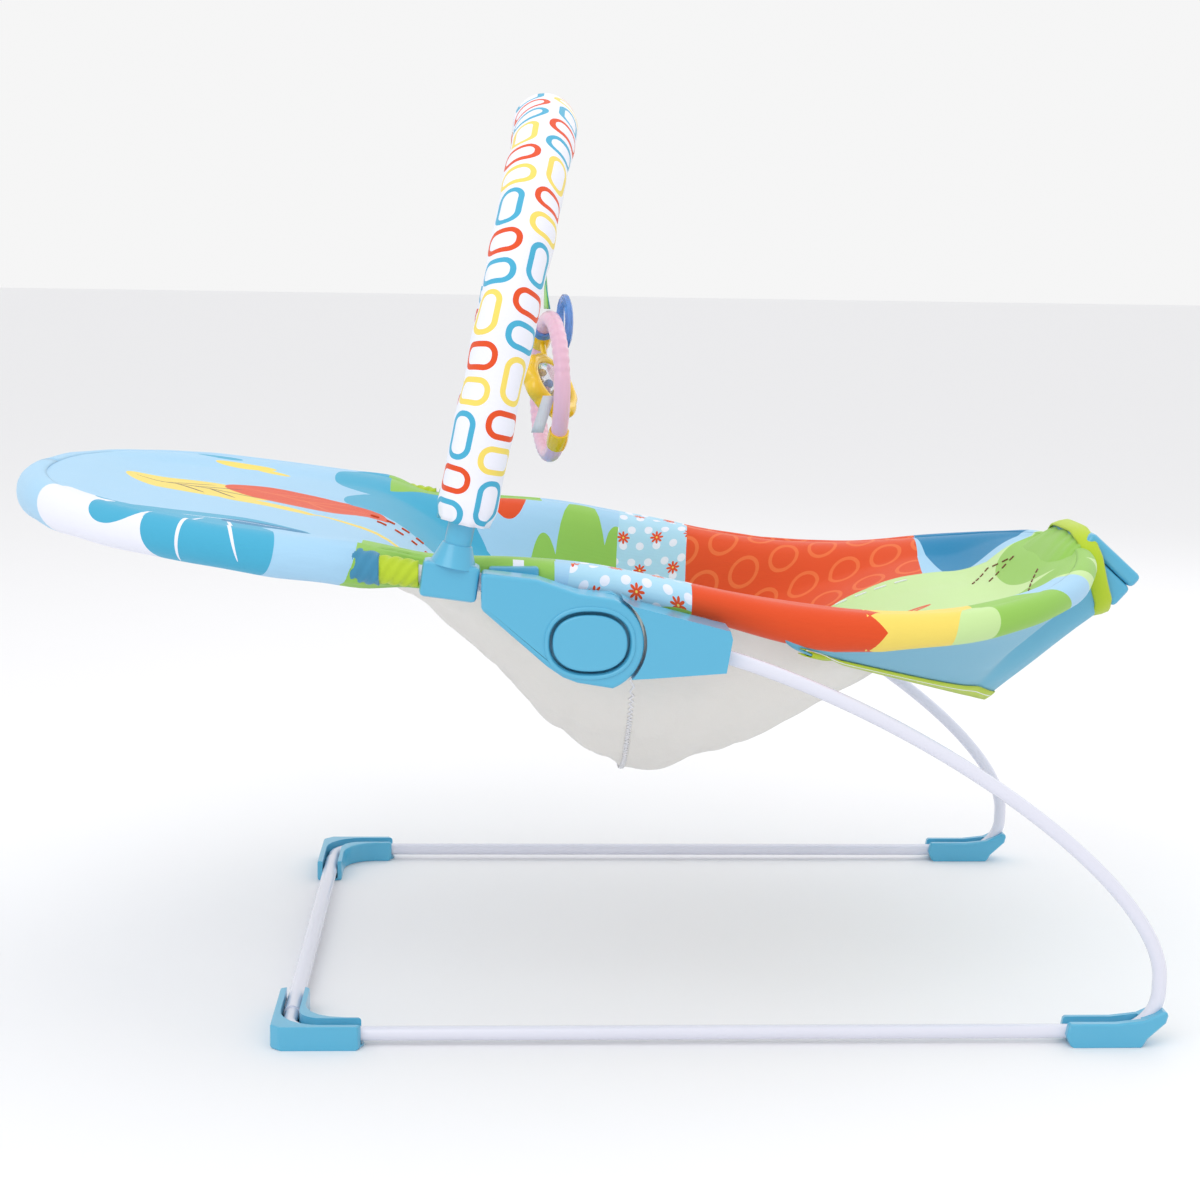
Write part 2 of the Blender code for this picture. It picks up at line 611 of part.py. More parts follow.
def hose(name, points, radii, bore, sides=10):
    """A soft tube along points in the toy bar's plane, with a round bore."""
    bm = bmesh.new()
    plane = Vector((math.cos(LEAN), 0, -math.sin(LEAN)))
    rings = []
    for i, point in enumerate(points):
        ahead = Vector(points[min(i + 1, len(points) - 1)]) - Vector(points[max(i - 1, 0)])
        across = plane.cross(ahead).normalized()
        ring = []
        for radius in (radii[i], bore):
            for k in range(sides):
                angle = 2 * math.pi * k / sides
                spoke = math.cos(angle) * plane + math.sin(angle) * across
                ring.append(bm.verts.new(Vector(point) + radius * spoke))
        rings.append(ring)
    for k in range(sides):
        n = (k + 1) % sides
        for near, far in zip(rings, rings[1:]):
            bm.faces.new((near[k], near[n], far[n], far[k]))
            bm.faces.new((near[sides + n], near[sides + k], far[sides + k], far[sides + n]))
        for end in (rings[0], rings[-1]):
            bm.faces.new((end[k], end[n], end[sides + n], end[sides + k]))
    bmesh.ops.recalc_face_normals(bm, faces=bm.faces)
    return mesh_object(name, bm)


def toy_bar():
    rod = tube("rod", arch_points(0.0110), TOY_ROD_R)
    add_part(rod, "toy_bar_rod", "steel")
    path = arch_points(SLEEVE_START)
    middle = (len(path) - 1) / 2
    radii = [1.0 + 0.30 * (1 - abs(i - middle) / middle) for i in range(len(path))]
    sleeve = hose("sleeve", path, [0.0170 * radius for radius in radii], TOY_ROD_R + 0.0006)
    add_part(sleeve, "toy_bar_sleeve", "sleeve_print")


# ---------------------------------------------------------------- hanging toy
def toy_matrix():
    """Local X is the ring's normal and local Z is up, with the origin at the ring's centre."""
    return Matrix.Translation((TOY_X, 0, TOY_Z)) @ Matrix.Rotation(TOY_TURN, 4, "Z")


def rattle_matrix():
    """Local Z runs along the rattle's axle and local X is its face's normal."""
    tilt = Matrix.Rotation(math.pi / 2 - AXLE_TILT, 4, "X")
    return toy_matrix() @ tilt.inverted() @ Matrix.Rotation(-RATTLE_SPIN, 4, "Z")


def ring_points(radius, steps, centre=(0, 0, 0)):
    points = []
    for i in range(steps):
        angle = 2 * math.pi * i / steps
        points.append((centre[0], centre[1] + radius * math.cos(angle), centre[2] + radius * math.sin(angle)))
    return points


def toy():
    ring_top = RING_R + RING_TUBE_R
    ribbon = block("ribbon", (-0.0008, -0.009, ring_top + GAP), (0.0008, 0.009, RIBBON_TOP - TOY_Z),
                   matrix=toy_matrix())
    add_part(ribbon, "toy_ribbon", "ribbon_teal")
    ring = tube("ring", ring_points(RING_R, 24), RING_TUBE_R, cyclic=True)
    axle_reach = Vector((0, 0, RING_R - 0.003))
    for sign in (-1, 1):
        collar = cylinder("collar", sign * axle_reach * 0.86, sign * axle_reach, 0.0052, 12)
        collar.data.transform(toy_matrix().inverted() @ rattle_matrix())
        boolean(ring, collar, "UNION")
    bearing = cylinder("axle", -axle_reach, axle_reach, 0.0018, 10)
    bearing.data.transform(toy_matrix().inverted() @ rattle_matrix())
    boolean(ring, bearing)
    ring.data.transform(toy_matrix())
    add_part(ring, "toy_pink_ring", "toy_pink")
    rim = cylinder("rim", (-0.0075, 0, 0), (0.0075, 0, 0), RATTLE_R, 16)
    boolean(rim, cylinder("hole", (-0.02, 0, 0), (0.02, 0, 0), WINDOW_R - 0.0012, 16))
    for i in range(10):
        angle = 2 * math.pi * (i + 0.5) / 10
        y, z = RATTLE_R * math.cos(angle), RATTLE_R * math.sin(angle)
        boolean(rim, cylinder("petal", (-0.0048, y, z), (0.0048, y, z), 0.0042, 6), "UNION")
    for sign in (-1, 1):
        start, end = (0, 0, sign * (RATTLE_R - 0.003)), (0, 0, sign * (RING_R - 0.0040))
        boolean(rim, cylinder("axle", start, end, 0.0015, 10), "UNION")
        groove = cylinder("seat", (sign * 0.0042, 0, 0), (sign * 0.0090, 0, 0), WINDOW_R + GAP, 16)
        boolean(rim, groove)
    rim.data.transform(rattle_matrix())
    add_part(rim, "rattle_rim", "toy_yellow")
    for word, sign in (("front", 1), ("back", -1)):
        window = cylinder("window", (sign * 0.0045, 0, 0), (sign * 0.0070, 0, 0), WINDOW_R, 16)
        window.data.transform(rattle_matrix())
        add_part(window, f"rattle_window_{word}", "clear")
    for i, (y, z) in enumerate(((-0.0066, -0.0100), (0.0012, -0.0116), (0.0084, -0.0080))):
        bm = bmesh.new()
        bmesh.ops.create_uvsphere(bm, u_segments=10, v_segments=6, radius=0.0031)
        bmesh.ops.translate(bm, vec=(0, y, z), verts=bm.verts)
        bead = mesh_object("bead", bm)
        bead.data.transform(rattle_matrix())
        add_part(bead, f"rattle_bead_{i + 1}", ("toy_pink", "toy_blue", "toy_yellow")[i])
    ring = tube("ring", ring_points(BLUE_R, 16, BLUE_CENTRE), BLUE_TUBE_R, resolution=1, cyclic=True)
    crossing = Vector((0, 0.0266, 0.0405))
    tangent = Vector((0, -crossing.z, crossing.y)).normalized() * 0.003
    boolean(ring, cylinder("clip", crossing - tangent, crossing + tangent, RING_TUBE_R + 0.0022, 12), "UNION")
    low = (RING_TUBE_R + 0.0010, crossing.y - 0.0025, crossing.z - 0.0025)
    boolean(ring, block("bridge", low, (BLUE_CENTRE[0], crossing.y + 0.0025, crossing.z + 0.0025)), "UNION")
    boolean(ring, tube("bore", ring_points(RING_R, 24), RING_TUBE_R + 2 * GAP, cyclic=True))
    ring.data.transform(toy_matrix())
    add_part(ring, "toy_blue_ring", "toy_blue")


# ---------------------------------------------------------------- vibration unit
def unit_matrix():
    """Local X runs down the unit's face, local Z points out of it, origin at the face's upper edge."""
    return Matrix.Translation((UNIT_TOP[0], 0, UNIT_TOP[1])) @ Matrix.Rotation(-UNIT_SLOPE, 4, "Y")


def vibration_unit():
    place = unit_matrix()
    wide = UNIT_HALF_WIDTH
    split = -0.0110
    top = block("top", (0, -wide, split), (UNIT_LENGTH, wide, 0), 0.0036, 3)
    boolean(top, block("cavity", (0.0130, -0.037, split - 0.01), (UNIT_LENGTH - 0.0047, 0.037, -0.0041)))
    boolean(top, block("window", (0.0100, -0.030, -0.0018), (UNIT_LENGTH - 0.010, 0.030, 0.01)))
    boolean(top, cylinder("hole", (0.0260, 0, -0.02), (0.0260, 0, 0.01), 0.0075, 20))
    bottom = block("bottom", (0, -wide, -UNIT_DEPTH), (UNIT_LENGTH, wide, split - GAP), 0.0036, 3)
    boolean(bottom, block("cavity", (0.0220, -0.037, -UNIT_DEPTH + 0.0045), (UNIT_LENGTH - 0.0047, 0.037, 0)))
    for shell_obj, name in ((top, "vibration_top_shell"), (bottom, "vibration_bottom_shell")):
        shell_obj.data.transform(place)
        path = [p for p in front_tube_points() if abs(p[1]) < 0.12]
        boolean(shell_obj, tube("channel", path, SEAT_R + GAP))
        add_part(shell_obj, name, "plastic_blue")
    panel = block("panel", (0.0103, -0.0297, -0.0015), (UNIT_LENGTH - 0.0103, 0.0297, 0.0004), 0.0004, 1)
    boolean(panel, cylinder("hole", (0.0260, 0, -0.02), (0.0260, 0, 0.01), 0.0075, 20))
    panel.data.transform(place)
    add_part(panel, "control_panel", "plastic_white")
    button = cylinder("button", (0.0260, 0, -0.0060), (0.0260, 0, 0.0018), 0.0070, 20)
    button.data.transform(place)
    add_part(button, "power_button", "toy_pink")
    switch = block("switch", (0.0225, -0.0035, -0.0135), (0.0295, 0.0035, -0.0080))
    switch.data.transform(place)
    add_part(switch, "power_switch", "plastic_dark")
    motor = cylinder("motor", (0.0380, 0.0060, -0.0160), (0.0380, 0.0310, -0.0160), 0.0060, 20)
    shaft = cylinder("shaft", (0.0380, -0.0010, -0.0160), (0.0380, 0.0080, -0.0160), 0.0010, 10)
    boolean(motor, shaft, "UNION")
    motor.data.transform(place)
    add_part(motor, "vibration_motor", "steel")
    weight = cylinder("weight", (0.0380, -0.0050, -0.0160), (0.0380, 0.0040, -0.0160), 0.0052, 20)
    boolean(weight, block("half", (0.0200, -0.01, -0.0175 + 0.0030), (0.0500, 0.01, 0.01)))
    boolean(weight, cylinder("bore", (0.0380, -0.0020, -0.0160), (0.0380, 0.0080, -0.0160), 0.0013, 12))
    weight.data.transform(place)
    add_part(weight, "motor_weight", "steel")


def battery_box():
    """The battery case that hangs behind the skirt, with its lid and two cells."""
    slope = math.atan2(SKIRT_FRONT[1] - SKIRT_LOW[1], SKIRT_FRONT[0] - SKIRT_LOW[0])
    middle = [low + 0.55 * (high - low) for low, high in zip(SKIRT_LOW, SKIRT_FRONT)]
    lift = Matrix.Translation((0, 0, 0.0125))
    place = Matrix.Translation((middle[0], 0, middle[1])) @ Matrix.Rotation(-slope, 4, "Y") @ lift
    case = block("case", (-0.0320, -0.0210, 0.0035), (0.0320, 0.0210, 0.0215), 0.0025)
    boolean(case, block("cavity", (-0.0297, -0.0187, -0.01), (0.0297, 0.0187, 0.0193)))
    case.data.transform(place)
    add_part(case, "battery_case", "plastic_blue")
    lid = block("lid", (-0.0320, -0.0210, 0.0008), (0.0320, 0.0210, 0.0032), 0.0008, 1)
    lid.data.transform(place)
    add_part(lid, "battery_lid", "plastic_blue")
    for i, side in enumerate((-1, 1)):
        y = side * 0.0086
        cell = cylinder("cell", (-0.0250, y, 0.0112), (0.0235, y, 0.0112), 0.0072, 20)
        boolean(cell, cylinder("cap", (0.0230, y, 0.0112), (0.0250, y, 0.0112), 0.0026, 12), "UNION")
        cell.data.transform(place)
        add_part(cell, f"battery_cell_{i + 1}", "battery_foil")


# ---------------------------------------------------------------- fabric
def head_outline(grow, front_x):
    """Plan outline of the head pad, grown outwards from the back tube."""
    points = []
    steps = 12
    for i in range(steps + 1):
        angle = math.pi * (i / steps - 0.5)
        reach = abs(math.cos(angle)) ** 0.9
        across = math.copysign(abs(math.sin(angle)) ** 0.9, math.sin(angle))
        points.append((HEAD_CENTRE_X - (HEAD_CENTRE_X - HEAD_TIP_X + grow) * reach, across * (TRACK + grow)))
    return points + [(front_x, TRACK + grow), (front_x, -TRACK - grow)]


def head_pad():
    """A flat padded panel with a channel for the back tube."""
    outline = [(x, -y) for x, y in head_outline(0.0125, -0.165)]
    pad = plate("pad", outline, -0.0120, 0.0150, bevel=0.006, segments=1)
    pad.data.transform(Matrix.Rotation(-math.pi / 2, 4, "X"))
    tilt = Matrix.Rotation(math.atan(BACK_SLOPE), 4, "Y")
    ref = Matrix.Translation((BACK_REF[0], 0, BACK_REF[1]))
    pad.data.transform(ref @ tilt @ ref.inverted() @ Matrix.Translation((0, 0, BACK_REF[1] + 0.001)))
    boolean(pad, tube("channel", back_tube_points(), SEAT_R + 0.0008))
    return add_part(pad, "head_pad", "cover_print")


def hollow_depth(x):
    """Height of the liner's underside on the middle plane."""
    rear = 0.298 - 0.150 * smooth_step((x + 0.175) / 0.210)
    front = 0.148 + 0.112 * smooth_step((x - 0.035) / 0.265)
    return rear if x < 0.035 else front


def liner_point(x, share):
    """A point of the hollow's underside, share from -1 to 1 across the seat."""
    half = min(0.197, front_half_width(x) + 0.007)
    rim = (front_tube_z(x) if x > -0.07 else back_tube_z(x)) + 0.0010
    bottom = min(hollow_depth(x), rim)
    flat = 1 - abs(share) ** 3.2
    inside = smooth_step((0.905 - abs(share)) / 0.140)
    return Vector((x, half * share, rim - (rim - bottom) * flat * inside))


def hollow_point(x, share, lift):
    """A point above the hollow's underside, lifted square to it."""
    step = 0.002
    along = liner_point(x + step, share) - liner_point(x - step, share)
    across = liner_point(x, share + step) - liner_point(x, share - step)
    return liner_point(x, share) + along.cross(across).normalized() * lift


def hollow_rows(lift, first, last, columns=14, rows=13, reach=1.0):
    grid = []
    for i in range(rows + 1):
        x = first + (last - first) * i / rows
        shares = [reach * math.sin(math.pi * (j / columns - 0.5)) for j in range(columns + 1)]
        grid.append([hollow_point(x, share, lift) for share in shares])
    return grid


COVER_LIFT = 0.0152          # middle of the cover's thickness above the liner


def seat_cover():
    add_part(shell("cover", hollow_rows(COVER_LIFT, -0.160, 0.322), 0.0060, 0.0), "seat_cover", "cover_print", 60)
    liner = shell("liner", hollow_rows(0.0015, -0.150, 0.262, 12, 9, 0.86), 0.0015, 0.0)
    add_part(liner, "seat_liner", "liner_white", 60)


def skirt_edge(share):
    """The skirt's free rear edge, share from -1 to 1 across the seat."""
    reach = abs(share) ** 1.35
    return (SKIRT_LOW[0] - 0.165 * reach, 0.196 * share, SKIRT_LOW[1] + 0.067 * abs(share) ** 1.2)


def skirt_top(share):
    """The skirt's sewn edge below the front tube."""
    x = FRONT_CURVE_X + (SKIRT_FRONT[0] - FRONT_CURVE_X) * (1 - abs(share) ** 2.4) ** 0.5
    drop = 0.0170 + 0.0280 * (1 - smooth_step(abs(share) / 0.5))
    return (x, 0.196 * share, front_tube_z(min(x, FRONT_TIP_X)) - drop)


def front_skirt():
    """The pocket panel under the front end, from the tube down to its bound rear edge."""
    rows = []
    for i in range(5):
        t = i / 4
        row = []
        for j in range(SKIRT_STEPS + 1):
            share = -0.98 + 1.96 * j / SKIRT_STEPS
            low, high = Vector(skirt_edge(share)), Vector(skirt_top(share))
            row.append(low.lerp(high, t))
        rows.append(row)
    add_part(shell("skirt", rows, 0.0016, 0.0), "front_skirt", "skirt_blue", 60)
    edge = []
    for j in range(SKIRT_STEPS + 1):
        share = -0.98 + 1.96 * j / SKIRT_STEPS
        point = Vector(skirt_edge(share))
        inward = (Vector(skirt_top(share)) - point).normalized()
        edge.append(point - inward * 0.0032)
    add_part(tube("binding", edge, 0.0020, resolution=1), "skirt_binding", "binding_lime")


def harness():
    """The crotch pad and waist straps that lie on the hollow, joined by a buckle."""
    def patch(first, last, low_share, high_share, lift, rows, columns):
        grid = []
        for i in range(rows + 1):
            x = first + (last - first) * i / rows
            shares = [low_share + (high_share - low_share) * j / columns for j in range(columns + 1)]
            grid.append([hollow_point(x, share, lift) for share in shares])
        return grid

    crotch = shell("crotch", patch(0.0455, 0.135, -0.17, 0.17, COVER_LIFT + 0.0080, 5, 4), 0.0060, 0.0)
    add_part(crotch, "crotch_pad", "cover_green", 60)
    for word, side in SIDES:
        low_share, high_share = span(side, 0.195, 0.78)
        strap = shell("strap", patch(-0.005, 0.020, low_share, high_share, COVER_LIFT + 0.0095, 2, 8), 0.0018, 0.0)
        add_part(strap, f"waist_strap_{word}", "webbing", 60)
    height = hollow_point(0.016, 0, COVER_LIFT)[2]
    buckle = block("buckle", (0.002, -0.036, height + 0.0145), (0.0435, 0.036, height + 0.0245), 0.004, 1)
    add_part(buckle, "harness_buckle", "plastic_dark")


for word, side in SIDES:
    leg_socket(word, side)
    rear_foot(word, side)
    front_foot(word, side)
    arm_cover(word, side, "outer")
    arm_cover(word, side, "inner")
    push_button(word, side)
    lock_gear(word, side)
    lock_spring(word, side)
    pivot_rivet(word, side)
    arm_screw(word, side)
    toy_bar_bracket(word, side)
base_frame()
seat_frame()
toy_bar()
toy()
vibration_unit()
battery_box()
head_pad()
seat_cover()
front_skirt()
harness()
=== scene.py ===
import math

import bmesh
import bpy
from mathutils import Matrix, Vector, noise


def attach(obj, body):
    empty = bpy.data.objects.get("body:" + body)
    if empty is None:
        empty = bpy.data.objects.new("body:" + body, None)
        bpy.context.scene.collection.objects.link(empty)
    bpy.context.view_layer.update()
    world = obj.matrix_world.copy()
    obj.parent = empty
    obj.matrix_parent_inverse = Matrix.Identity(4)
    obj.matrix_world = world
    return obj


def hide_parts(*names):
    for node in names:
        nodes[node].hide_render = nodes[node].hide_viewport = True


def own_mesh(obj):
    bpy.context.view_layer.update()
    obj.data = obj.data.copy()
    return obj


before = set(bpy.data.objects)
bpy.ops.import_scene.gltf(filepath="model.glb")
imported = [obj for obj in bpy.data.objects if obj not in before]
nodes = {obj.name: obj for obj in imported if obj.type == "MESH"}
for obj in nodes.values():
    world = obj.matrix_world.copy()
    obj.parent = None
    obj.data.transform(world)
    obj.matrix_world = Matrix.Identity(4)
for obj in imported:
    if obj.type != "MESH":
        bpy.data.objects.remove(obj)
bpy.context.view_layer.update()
scene = bpy.context.scene
SIDES = (("right", -1), ("left", 1))

# measures shared with the CAD
TRACK = 0.220
BASE_R = 0.0047
CROSSBAR_R = 0.0058
RAIL_Z = 0.0080
REAR_X = -0.2015
FRONT_X = 0.3675
PIVOT = (-0.0073, 0.2668)
DISC_R = 0.0310
COVER_OUT = 0.2365
LEAN = math.radians(12.0)
ARCH_BASE = (-0.098, 0.3054)
ARCH_R = 0.220
ARCH_RISE = 0.078
TOY_AT = Vector((-0.031, 0.0, 0.4135))
TOY_TURN = math.radians(9.0)
RING_R = 0.0485
RING_TUBE_R = 0.0060

# the seat's outline: a bow at the head, a waist, and a bow at the foot end
HEAD_CENTRE_X = -0.215
HEAD_LENGTH = 0.174
HEAD_ROUND = 0.9
WAIST_Y = 0.1925
FRONT_Y = 0.190
FRONT_CURVE_X = 0.150
FRONT_LENGTH = 0.2039
FRONT_ROUND = 0.6

# cloth
CLOTH_THICK = 0.0012
THIN_CLOTH = 0.0010
ROLL_INSET = 0.0008
STITCH_LIFT = 0.0010
SEAM_X = 0.022
HEAD_CALM_X = -0.2
X_STEP = 0.002
SHARE_STEP = 0.01


# ---------------------------------------------------------------- materials
def rgb(r, g, b):
    return tuple(((c / 255 + 0.055) / 1.055) ** 2.4 for c in (r, g, b)) + (1.0,)


SKY = rgb(166, 209, 238)
CLOUD = rgb(236, 238, 250)
TEAL = rgb(70, 172, 208)
TEAL_DEEP = rgb(34, 132, 180)
GREEN = rgb(148, 199, 88)
PALE_GREEN = rgb(200, 230, 160)
ORANGE = rgb(226, 78, 30)
ORANGE_LIGHT = rgb(236, 110, 56)
YELLOW = rgb(243, 218, 104)
BROWN = rgb(98, 58, 56)
PETAL_SKY = rgb(176, 219, 240)
LIME = rgb(184, 208, 50)
PLASTIC = rgb(84, 176, 212)
SKIRT = rgb(112, 182, 210)


class Tree:
    """A material's node tree with short ways to add nodes."""

    def __init__(self, name, rough, metal=0.0, coat=0.0, sheen=0.0):
        self.material = bpy.data.materials.new(name)
        self.material.use_nodes = True
        self.tree = self.material.node_tree
        self.shader = self.tree.nodes["Principled BSDF"]
        self.shader.inputs["Roughness"].default_value = rough
        self.shader.inputs["Metallic"].default_value = metal
        self.shader.inputs["Coat Weight"].default_value = coat
        self.shader.inputs["Coat Roughness"].default_value = 0.12
        self.shader.inputs["Sheen Weight"].default_value = sheen
        self.shader.inputs["Sheen Roughness"].default_value = 0.45
        self.place = self.node("ShaderNodeTexCoord").outputs["Object"]

    def node(self, kind, **settings):
        made = self.tree.nodes.new(kind)
        for key, value in settings.items():
            setattr(made, key, value)
        return made

    def put(self, value, socket):
        if isinstance(value, bpy.types.NodeSocket):
            self.tree.links.new(value, socket)
        else:
            socket.default_value = value

    def math(self, operation, *values):
        made = self.node("ShaderNodeMath", operation=operation)
        for value, socket in zip(values, made.inputs):
            self.put(value, socket)
        return made.outputs[0]

    def mix(self, share, low, high):
        made = self.node("ShaderNodeMix", data_type="RGBA")
        self.put(share, made.inputs[0])
        self.put(low, made.inputs[6])
        self.put(high, made.inputs[7])
        return made.outputs[2]

    def noise(self, scale, detail=2.0):
        made = self.node("ShaderNodeTexNoise")
        made.inputs["Scale"].default_value = scale
        made.inputs["Detail"].default_value = detail
        self.put(self.place, made.inputs["Vector"])
        return made.outputs[0]

    def finish(self, colour, wear, bumps):
        """Base colour with faint soiling, and a stack of (height, distance) bumps."""
        worn = self.node("ShaderNodeMix", data_type="RGBA", blend_type="MULTIPLY")
        self.put(self.math("MULTIPLY", self.noise(9.0, 4.0), wear), worn.inputs[0])
        self.put(colour, worn.inputs[6])
        worn.inputs[7].default_value = (0.72, 0.70, 0.68, 1.0)
        self.put(worn.outputs[2], self.shader.inputs["Base Color"])
        normal = None
        for height, distance in bumps:
            bump = self.node("ShaderNodeBump")
            bump.inputs["Distance"].default_value = distance
            bump.inputs["Strength"].default_value = 0.6
            self.put(height, bump.inputs["Height"])
            if normal:
                self.put(normal, bump.inputs["Normal"])
            normal = bump.outputs[0]
        if normal:
            self.put(normal, self.shader.inputs["Normal"])
        return self.material


def threads(tree, scale):
    """Height of a plain weave, from two crossed waves."""
    heights = []
    for direction in ("X", "Y"):
        wave = tree.node("ShaderNodeTexWave", bands_direction=direction)
        wave.inputs["Scale"].default_value = scale
        tree.put(tree.place, wave.inputs["Vector"])
        heights.append(wave.outputs["Fac"])
    return tree.math("MULTIPLY", *heights)


def plastic(name, colour, rough=0.28, coat=0.35):
    tree = Tree(name, rough, coat=coat)
    return tree.finish(colour, 0.10, [(tree.noise(60.0), 0.00015)])


def metal(name, colour, rough, metallic):
    tree = Tree(name, rough, metallic, coat=0.3)
    return tree.finish(colour, 0.12, [(tree.noise(160.0), 0.00006)])


def cloth(name, colour, weave=420.0, fold=0.0008, sheen=0.25, rough=0.72):
    tree = Tree(name, rough, sheen=sheen)
    tree.shader.inputs["Specular IOR Level"].default_value = 0.28
    bumps = [(tree.noise(22.0, 3.0), fold), (threads(tree, weave), 0.00012)]
    return tree.finish(colour, 0.10, bumps)


def clear(name, colour, through=0.85, rough=0.06):
    tree = Tree(name, rough)
    tree.shader.inputs["Transmission Weight"].default_value = through
    tree.shader.inputs["IOR"].default_value = 1.45
    return tree.finish(colour, 0.04, [(tree.noise(80.0), 0.00005)])


class Print(Tree):
    """Flat printed shapes laid one over the other, in metres on the flat cloth."""

    def __init__(self, name, ground, rough=0.7, sheen=0.2):
        super().__init__(name, rough, sheen=sheen)
        self.shader.inputs["Specular IOR Level"].default_value = 0.3
        self.flat = self.node("ShaderNodeUVMap", uv_map="print").outputs[0]
        self.run = self.node("ShaderNodeUVMap", uv_map="run").outputs[0]
        self.colour = ground

    def local(self, x, y, wide, long, turn):
        made = self.node("ShaderNodeMapping", vector_type="TEXTURE")
        self.put(self.flat, made.inputs["Vector"])
        made.inputs["Location"].default_value = (x, y, 0)
        made.inputs["Rotation"].default_value = (0, 0, math.radians(turn))
        made.inputs["Scale"].default_value = (wide, long, 1)
        return made.outputs[0]

    def oval(self, x, y, wide, long, turn=0.0):
        made = self.node("ShaderNodeVectorMath", operation="LENGTH")
        self.put(self.local(x, y, wide, long, turn), made.inputs[0])
        return self.math("LESS_THAN", made.outputs["Value"], 1.0)

    def box(self, x, y, wide, long, turn=0.0):
        made = self.node("ShaderNodeVectorMath", operation="ABSOLUTE")
        self.put(self.local(x, y, wide, long, turn), made.inputs[0])
        parts = self.node("ShaderNodeSeparateXYZ")
        self.put(made.outputs[0], parts.inputs[0])
        largest = self.math("MAXIMUM", parts.outputs[0], parts.outputs[1])
        return self.math("LESS_THAN", largest, 1.0)

    def lay(self, mask, colour):
        self.colour = self.mix(mask, self.colour, colour)

    def ovals(self, colour, *shapes):
        for shape in shapes:
            self.lay(self.oval(*shape), colour)

    def boxes(self, colour, *shapes):
        for shape in shapes:
            self.lay(self.box(*shape), colour)

    def length(self, u, v):
        squares = [self.math("MULTIPLY", part, part) for part in (u, v)]
        return self.math("SQRT", self.math("ADD", *squares))

    def cell(self, size, shift=0.0):
        """Place within a square cell, from -0.5 to 0.5 each way, every other row shifted.

        Adding 64 whole cells keeps the numbers positive."""
        parts = self.node("ShaderNodeSeparateXYZ")
        self.put(self.run, parts.inputs[0])
        across = self.math("DIVIDE", parts.outputs[1], size)
        row = self.math("MODULO", self.math("FLOOR", self.math("ADD", across, 64.0)), 2.0)
        along = self.math("DIVIDE", parts.outputs[0], size)
        along = self.math("ADD", along, self.math("MULTIPLY", row, 0.5))
        along = self.math("ADD", along, 64.0 + shift)
        u = self.math("SUBTRACT", self.math("FRACT", along), 0.5)
        v = self.math("SUBTRACT", self.math("FRACT", self.math("ADD", across, 64.0)), 0.5)
        return u, v, self.length(u, v)


